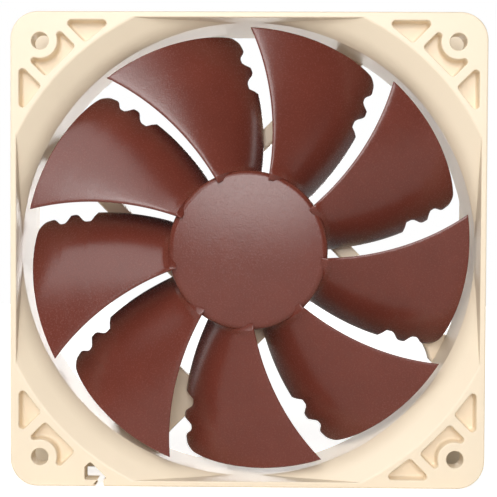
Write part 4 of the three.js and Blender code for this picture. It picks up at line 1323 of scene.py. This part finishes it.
class FAN_OT_stator(bpy.types.Operator):
    """Builds the stator: laminated core, two insulators, four windings and four terminal pins"""

    bl_idname = "fan.stator"
    bl_label = "Stator"

    def execute(self, context):
        sizes = context.scene.fan_motor
        _, front, rear = extent("stator_core")
        core = build("lamination_stack", shell(stack(star_outline(), sheet_levels(front, rear, sizes.sheet))))
        bore = [(0, front - PAST), (extent("bearing_tube")[0] + FIT, front - PAST)]
        bore += [(radius, rear + PAST) for radius, _ in bore[::-1]]
        combine(core, "DIFFERENCE", build("core_bore", shell(lathe(bore, 96))))
        finish(core, STATIC, [silicon_steel()], ["stator_core"])
        nylon = black_nylon()
        for node, facing in (("insulator_front", -1), ("insulator_rear", 1)):
            finish(insulator(node, facing), STATIC, [nylon], [node])
        wire = enamelled_copper()
        tin = tinned_bronze()
        for k in range(POLES):
            finish(coil(k, sizes), STATIC, [wire], [f"coil_{k + 1}"], sharp=75)
            finish(terminal_pin(k), STATIC, [tin], [f"terminal_pin_{k + 1}"])
        return {"FINISHED"}


# ---- circuit board

# Radial size, tangential size and height in mm; how far out from the middle of the board's ring; angle in
# degrees.
CAPPED = {
    "capacitor": (2.5, 3.2, 1.6, 0.8, 98),
    "resistor_1": (1.25, 2.0, 0.55, 2.2, 72),
    "resistor_2": (1.25, 2.0, 0.55, 2.2, 250),
}
DIODE = (1.8, 3.6, 1.2, 1.0, 286)
CHIP = (3.9, 4.9, 1.4, 0.0, 180)
HALL = (1.5, 4.0, 22.5)


def board_ring():
    """Inner radius, outer radius, front depth and rear depth of the board."""
    outer, front, rear = extent("circuit_board")
    return extent("bearing_tube")[0] + 1.7 * MM, outer, front, rear


def on_board(x, z, radius, angle):
    """Plan points given radially and tangentially from a component's centre, set at its place on the
    board."""
    return rotated(np.stack([np.asarray(x) + radius, z], 1), math.radians(angle))


def chip_box(radial, tangential, front, rear, radius, angle, lean=0.0, shift=0.0, edge=0.1 * MM):
    """A moulded block on the board; its sides lean in towards its front by lean, and shift moves it
    tangentially."""
    outline = rectangle(radial / 2, tangential / 2, 1.2 * (edge + lean), steps=3) + np.array([0, shift])
    levels = plate_levels(front, rear, edge, edge * 0.5, steps=3)
    leaned = [(depth, amount - lean * (rear - depth) / (rear - front)) for depth, amount in levels]
    return shell(stack(on_board(outline[:, 0], outline[:, 1], radius, angle), leaned))


def lead(path, thickness, half, radius, angle, shift, outward, face):
    """A bent flat lead: its path of (out, height) points, moved to both sides by half the thickness,
    makes a side view that is carried across the lead's width."""
    middle = rounded_path([(u * MM, h * MM, 0.15 * MM) for u, h in path], closed=False, steps=4)
    ahead = np.gradient(middle, axis=0)
    ahead /= np.linalg.norm(ahead, axis=1, keepdims=True)
    aside = np.stack([-ahead[:, 1], ahead[:, 0]], 1) * thickness / 2
    view = np.concatenate([middle + aside, (middle - aside)[::-1]])
    rings = []
    for z in (shift - half, shift + half):
        plan = on_board(outward * view[:, 0], np.full(len(view), z), radius, angle)
        rings.append(np.stack([plan[:, 0], FRONT + face - view[:, 1], plan[:, 1] + AXIS_Z], 1))
    return shell(np.array(rings))


def small_component(name, middle, face):
    """A ceramic chip component: its body between two plated end caps that stand 0.03 mm proud."""
    radial, tangential, height, out, angle = CAPPED[name]
    radius = middle + out * MM
    cap, proud = 0.22 * tangential * MM, 0.03 * MM
    front = face - height * MM
    width, length = radial * MM - 2 * proud, tangential * MM - cap
    shells = [chip_box(width, length, front + proud, face - proud, radius, angle, edge=0.06 * MM)]
    for side in (-1, 1):
        shift = side * (tangential * MM - cap) / 2
        shells.append(chip_box(radial * MM, cap, front, face, radius, angle, shift=shift, edge=0.08 * MM))
    return build(f"fired_{name}", *shells, slots=[0, 1, 1])


class FAN_OT_electronics(bpy.types.Operator):
    """Builds the circuit board with its pads and the components that stand on it"""

    bl_idname = "fan.electronics"
    bl_label = "Circuit board"

    def execute(self, context):
        inner, outer, front, rear = board_ring()
        face = front - 0.05 * MM
        middle = (inner + outer) / 2
        edge = 0.08 * MM
        board = turned("etched_board", tube_section(inner, outer, front, rear, edge))
        combine(board, "DIFFERENCE", pin_holes(0.35 * MM))
        finish(board, STATIC, [solder_mask(context.scene.fan_colours)], ["circuit_board"])

        tin = tinned_bronze()
        epoxy = moulded_epoxy()
        pad, skin = 0.9 * MM, 0.03 * MM
        pads = []
        for radial, tangential, _, out, angle in (*CAPPED.values(), DIODE):
            for side in (-1, 1):
                shift = side * (tangential * MM / 2)
                width = radial * MM + 0.2 * MM
                place = middle + out * MM
                back = front - 0.002 * MM
                pads.append(chip_box(width, pad, front - skin, back, place, angle, 0, shift, 0.01 * MM))
        finish(build("solder_pads", *pads), STATIC, [tin], [])

        radial, tangential, height, _, angle = CHIP
        top, standoff, lean = face - height * MM, 0.15 * MM, 0.12 * MM
        body = chip_box(
            radial * MM, tangential * MM, top, face - standoff, middle, angle, lean, 0, 0.12 * MM
        )
        pitch, half = 1.27 * MM, 0.21 * MM
        bends = ((-0.25, 0.75), (0.3, 0.75), (0.42, 0.1), (0.98, 0.1))
        gull = [(radial / 2 + out, height) for out, height in bends]
        leads = [
            lead(gull, 0.18 * MM, half, middle, angle, (k - 1.5) * pitch, outward, face)
            for k in range(4)
            for outward in (-1, 1)
        ]
        chip = build("driver_package", body, *leads, slots=[0] + [1] * len(leads))
        finish(chip, STATIC, [epoxy, tin], ["driver_chip"])

        radial, tangential, angle = HALL
        low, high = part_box("hall_sensor")
        magnet = extent("ring_magnet")[0] - 1.075 * MM
        hall = chip_box(
            radial * MM, tangential * MM, low.y - FRONT, high.y - FRONT, magnet, angle, 0.1 * MM, 0, 0.15 * MM
        )
        finish(build("hall_package", hall), STATIC, [epoxy], ["hall_sensor"])

        radial, tangential, height, out, angle = DIODE
        where = middle + out * MM
        width, length = radial * MM - 0.1 * MM, (tangential - 0.8) * MM
        body = chip_box(width, length, face - height * MM, face - 0.1 * MM, where, angle, 0.08 * MM)
        ends = []
        for side in (-1, 1):
            shift = side * (tangential / 2 - 0.25) * MM
            ends.append(chip_box(1.2 * MM, 0.5 * MM, face - 0.6 * MM, face, where, angle, 0, shift))
        finish(build("diode_package", body, *ends, slots=[0, 1, 1]), STATIC, [epoxy, tin], ["diode"])

        ceramic = fired_ceramic()
        for name in CAPPED:
            finish(small_component(name, middle, face), STATIC, [ceramic, tin], [name])
        return {"FINISHED"}


class FAN_OT_label(bpy.types.Operator):
    """Builds the plain label on the back of the motor base"""

    bl_idname = "fan.label"
    bl_label = "Label"

    def execute(self, context):
        outer, front, rear = extent("rear_label")
        edge = 0.08 * MM
        film = [(0, front), (outer, front, edge), (outer, rear, edge), (0, rear)]
        piece = build("label_film", solid_of(film))
        finish(piece, STATIC, [label_film(context.scene.fan_colours)], ["rear_label"])
        return {"FINISHED"}


# ---- stage


def softbox(name, place, aim, width, height, power):
    """A rectangular area light that faces aim."""
    light = bpy.data.lights.new(name, "AREA")
    light.shape = "RECTANGLE"
    light.size = width
    light.size_y = height
    light.energy = power
    obj = bpy.data.objects.new(name, light)
    obj.location = place
    obj.rotation_euler = (Vector(aim) - Vector(place)).to_track_quat("-Z", "Y").to_euler()
    bpy.context.scene.collection.objects.link(obj)
    return obj


class FAN_OT_stage(bpy.types.Operator):
    """Sets the camera, the pale floor, the soft studio lights and the white surroundings"""

    bl_idname = "fan.stage"
    bl_label = "Stage"

    def execute(self, context):
        settings = context.scene.fan_stage
        colours = context.scene.fan_colours
        scene = context.scene
        scene.view_settings.view_transform = "Standard"
        camera = bpy.data.cameras.new("camera")
        camera.sensor_width = 36
        camera.lens = FOCAL_LENGTH
        camera.clip_start = 0.01
        eye = bpy.data.objects.new("camera", camera)
        eye.location = CAMERA
        look = (Vector(CAMERA_AIM) - eye.location).to_track_quat("-Z", "Y").to_matrix()
        roll = math.radians(ROLL)
        c, s = math.cos(roll), math.sin(roll)
        twist = Matrix(((c, -s, 0), (s, c, 0), (0, 0, 1)))
        eye.rotation_euler = (look @ twist).to_euler()
        scene.collection.objects.link(eye)
        scene.camera = eye

        material, tree, shader, where = blank("matte_studio_paper")
        fibre = noise(tree, where, 1.2 * MM, 3)
        tone = mixed(tree, spread(tree, fibre, 0, 1), shaded(colours.paper, 0.99), colours.paper)
        tree.links.new(tone, shader.inputs["Base Color"])
        shader.inputs["Roughness"].default_value = 0.9
        shader.inputs["Emission Color"].default_value = (1, 1, 1, 1)
        seen = add(tree, "ShaderNodeLightPath").outputs["Is Camera Ray"]
        tree.links.new(spread(tree, seen, 0, settings.glow, 0, 1), shader.inputs["Emission Strength"])
        reach, rows, columns = 0.6, 25, 96
        radii = np.linspace(0, reach, rows)[:, None]
        angles = AROUND * np.arange(columns) / columns
        level = np.full((rows, columns), LOW.z)
        flat = np.stack([radii * np.cos(angles), radii * np.sin(angles), level], -1)
        points, faces = shell(flat)
        floor = build("floor", (points, faces[:-2]))
        floor.data.materials.append(material)
        floor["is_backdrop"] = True

        middle = (0, 0, AXIS_Z)
        softbox("key_softbox", (0, -0.9, AXIS_Z + 0.27), middle, 0.5, 0.42, settings.key)
        softbox("top_softbox", (-0.3, -0.6, AXIS_Z + 0.62), middle, 0.9, 0.7, settings.top)
        for name, x in (("left_light", -0.85), ("right_light", 0.85)):
            softbox(name, (x, 0.15, AXIS_Z + 0.15), middle, 0.5, 0.5, settings.side)
        softbox("rear_softbox", (0.1, 0.9, AXIS_Z + 0.05), middle, 0.35, 0.35, settings.rear)
        world = bpy.data.worlds.new("white_surroundings")
        world.use_nodes = True
        background = world.node_tree.nodes["Background"]
        background.inputs["Color"].default_value = (1, 1, 1, 1)
        background.inputs["Strength"].default_value = settings.ambient
        path = add(world.node_tree, "ShaderNodeLightPath").outputs["Is Camera Ray"]
        inputs = {"Value": path, "To Min": settings.ambient, "To Max": 1.0}
        strength = add(world.node_tree, "ShaderNodeMapRange", inputs=inputs).outputs["Result"]
        world.node_tree.links.new(strength, background.inputs["Strength"])
        scene.world = world
        return {"FINISHED"}


class FAN_PT_panel(bpy.types.Panel):
    """Lists the pieces of the fan and the sizes and colours they are built from"""

    bl_idname = "FAN_PT_panel"
    bl_label = "Case fan"
    bl_space_type = "VIEW_3D"
    bl_region_type = "UI"
    bl_category = "Case fan"

    def draw(self, context):
        for operator in OPERATORS:
            self.layout.operator(operator.bl_idname)
        for name, group in GROUPS.items():
            box = self.layout.box()
            for key in group.__annotations__:
                box.prop(getattr(context.scene, name), key)


GROUPS = {
    "fan_frame": FrameSizes,
    "fan_impeller": ImpellerSizes,
    "fan_motor": MotorSizes,
    "fan_colours": FinishColours,
    "fan_stage": StageSettings,
}
OPERATORS = (
    FAN_OT_frame,
    FAN_OT_impeller,
    FAN_OT_rotor,
    FAN_OT_bearing,
    FAN_OT_stator,
    FAN_OT_electronics,
    FAN_OT_label,
    FAN_OT_stage,
)


def register():
    for group in GROUPS.values():
        bpy.utils.register_class(group)
    for name, group in GROUPS.items():
        setattr(bpy.types.Scene, name, PointerProperty(type=group))
    for operator in OPERATORS:
        bpy.utils.register_class(operator)
    bpy.utils.register_class(FAN_PT_panel)


def unregister():
    bpy.utils.unregister_class(FAN_PT_panel)
    for operator in reversed(OPERATORS):
        bpy.utils.unregister_class(operator)
    for name, group in GROUPS.items():
        delattr(bpy.types.Scene, name)
        bpy.utils.unregister_class(group)


def main():
    """Registers the classes, builds every piece in order and works out the CAD box and the visual model's
    box."""
    register()
    for operator in OPERATORS:
        module, name = operator.bl_idname.split(".")
        getattr(getattr(bpy.ops, module), name)()
    boxes = {"cad": cad_box, "visual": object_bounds()}
    {key: [list(corner) for corner in box] for key, box in boxes.items()}


if __name__ == "__main__":
    main()
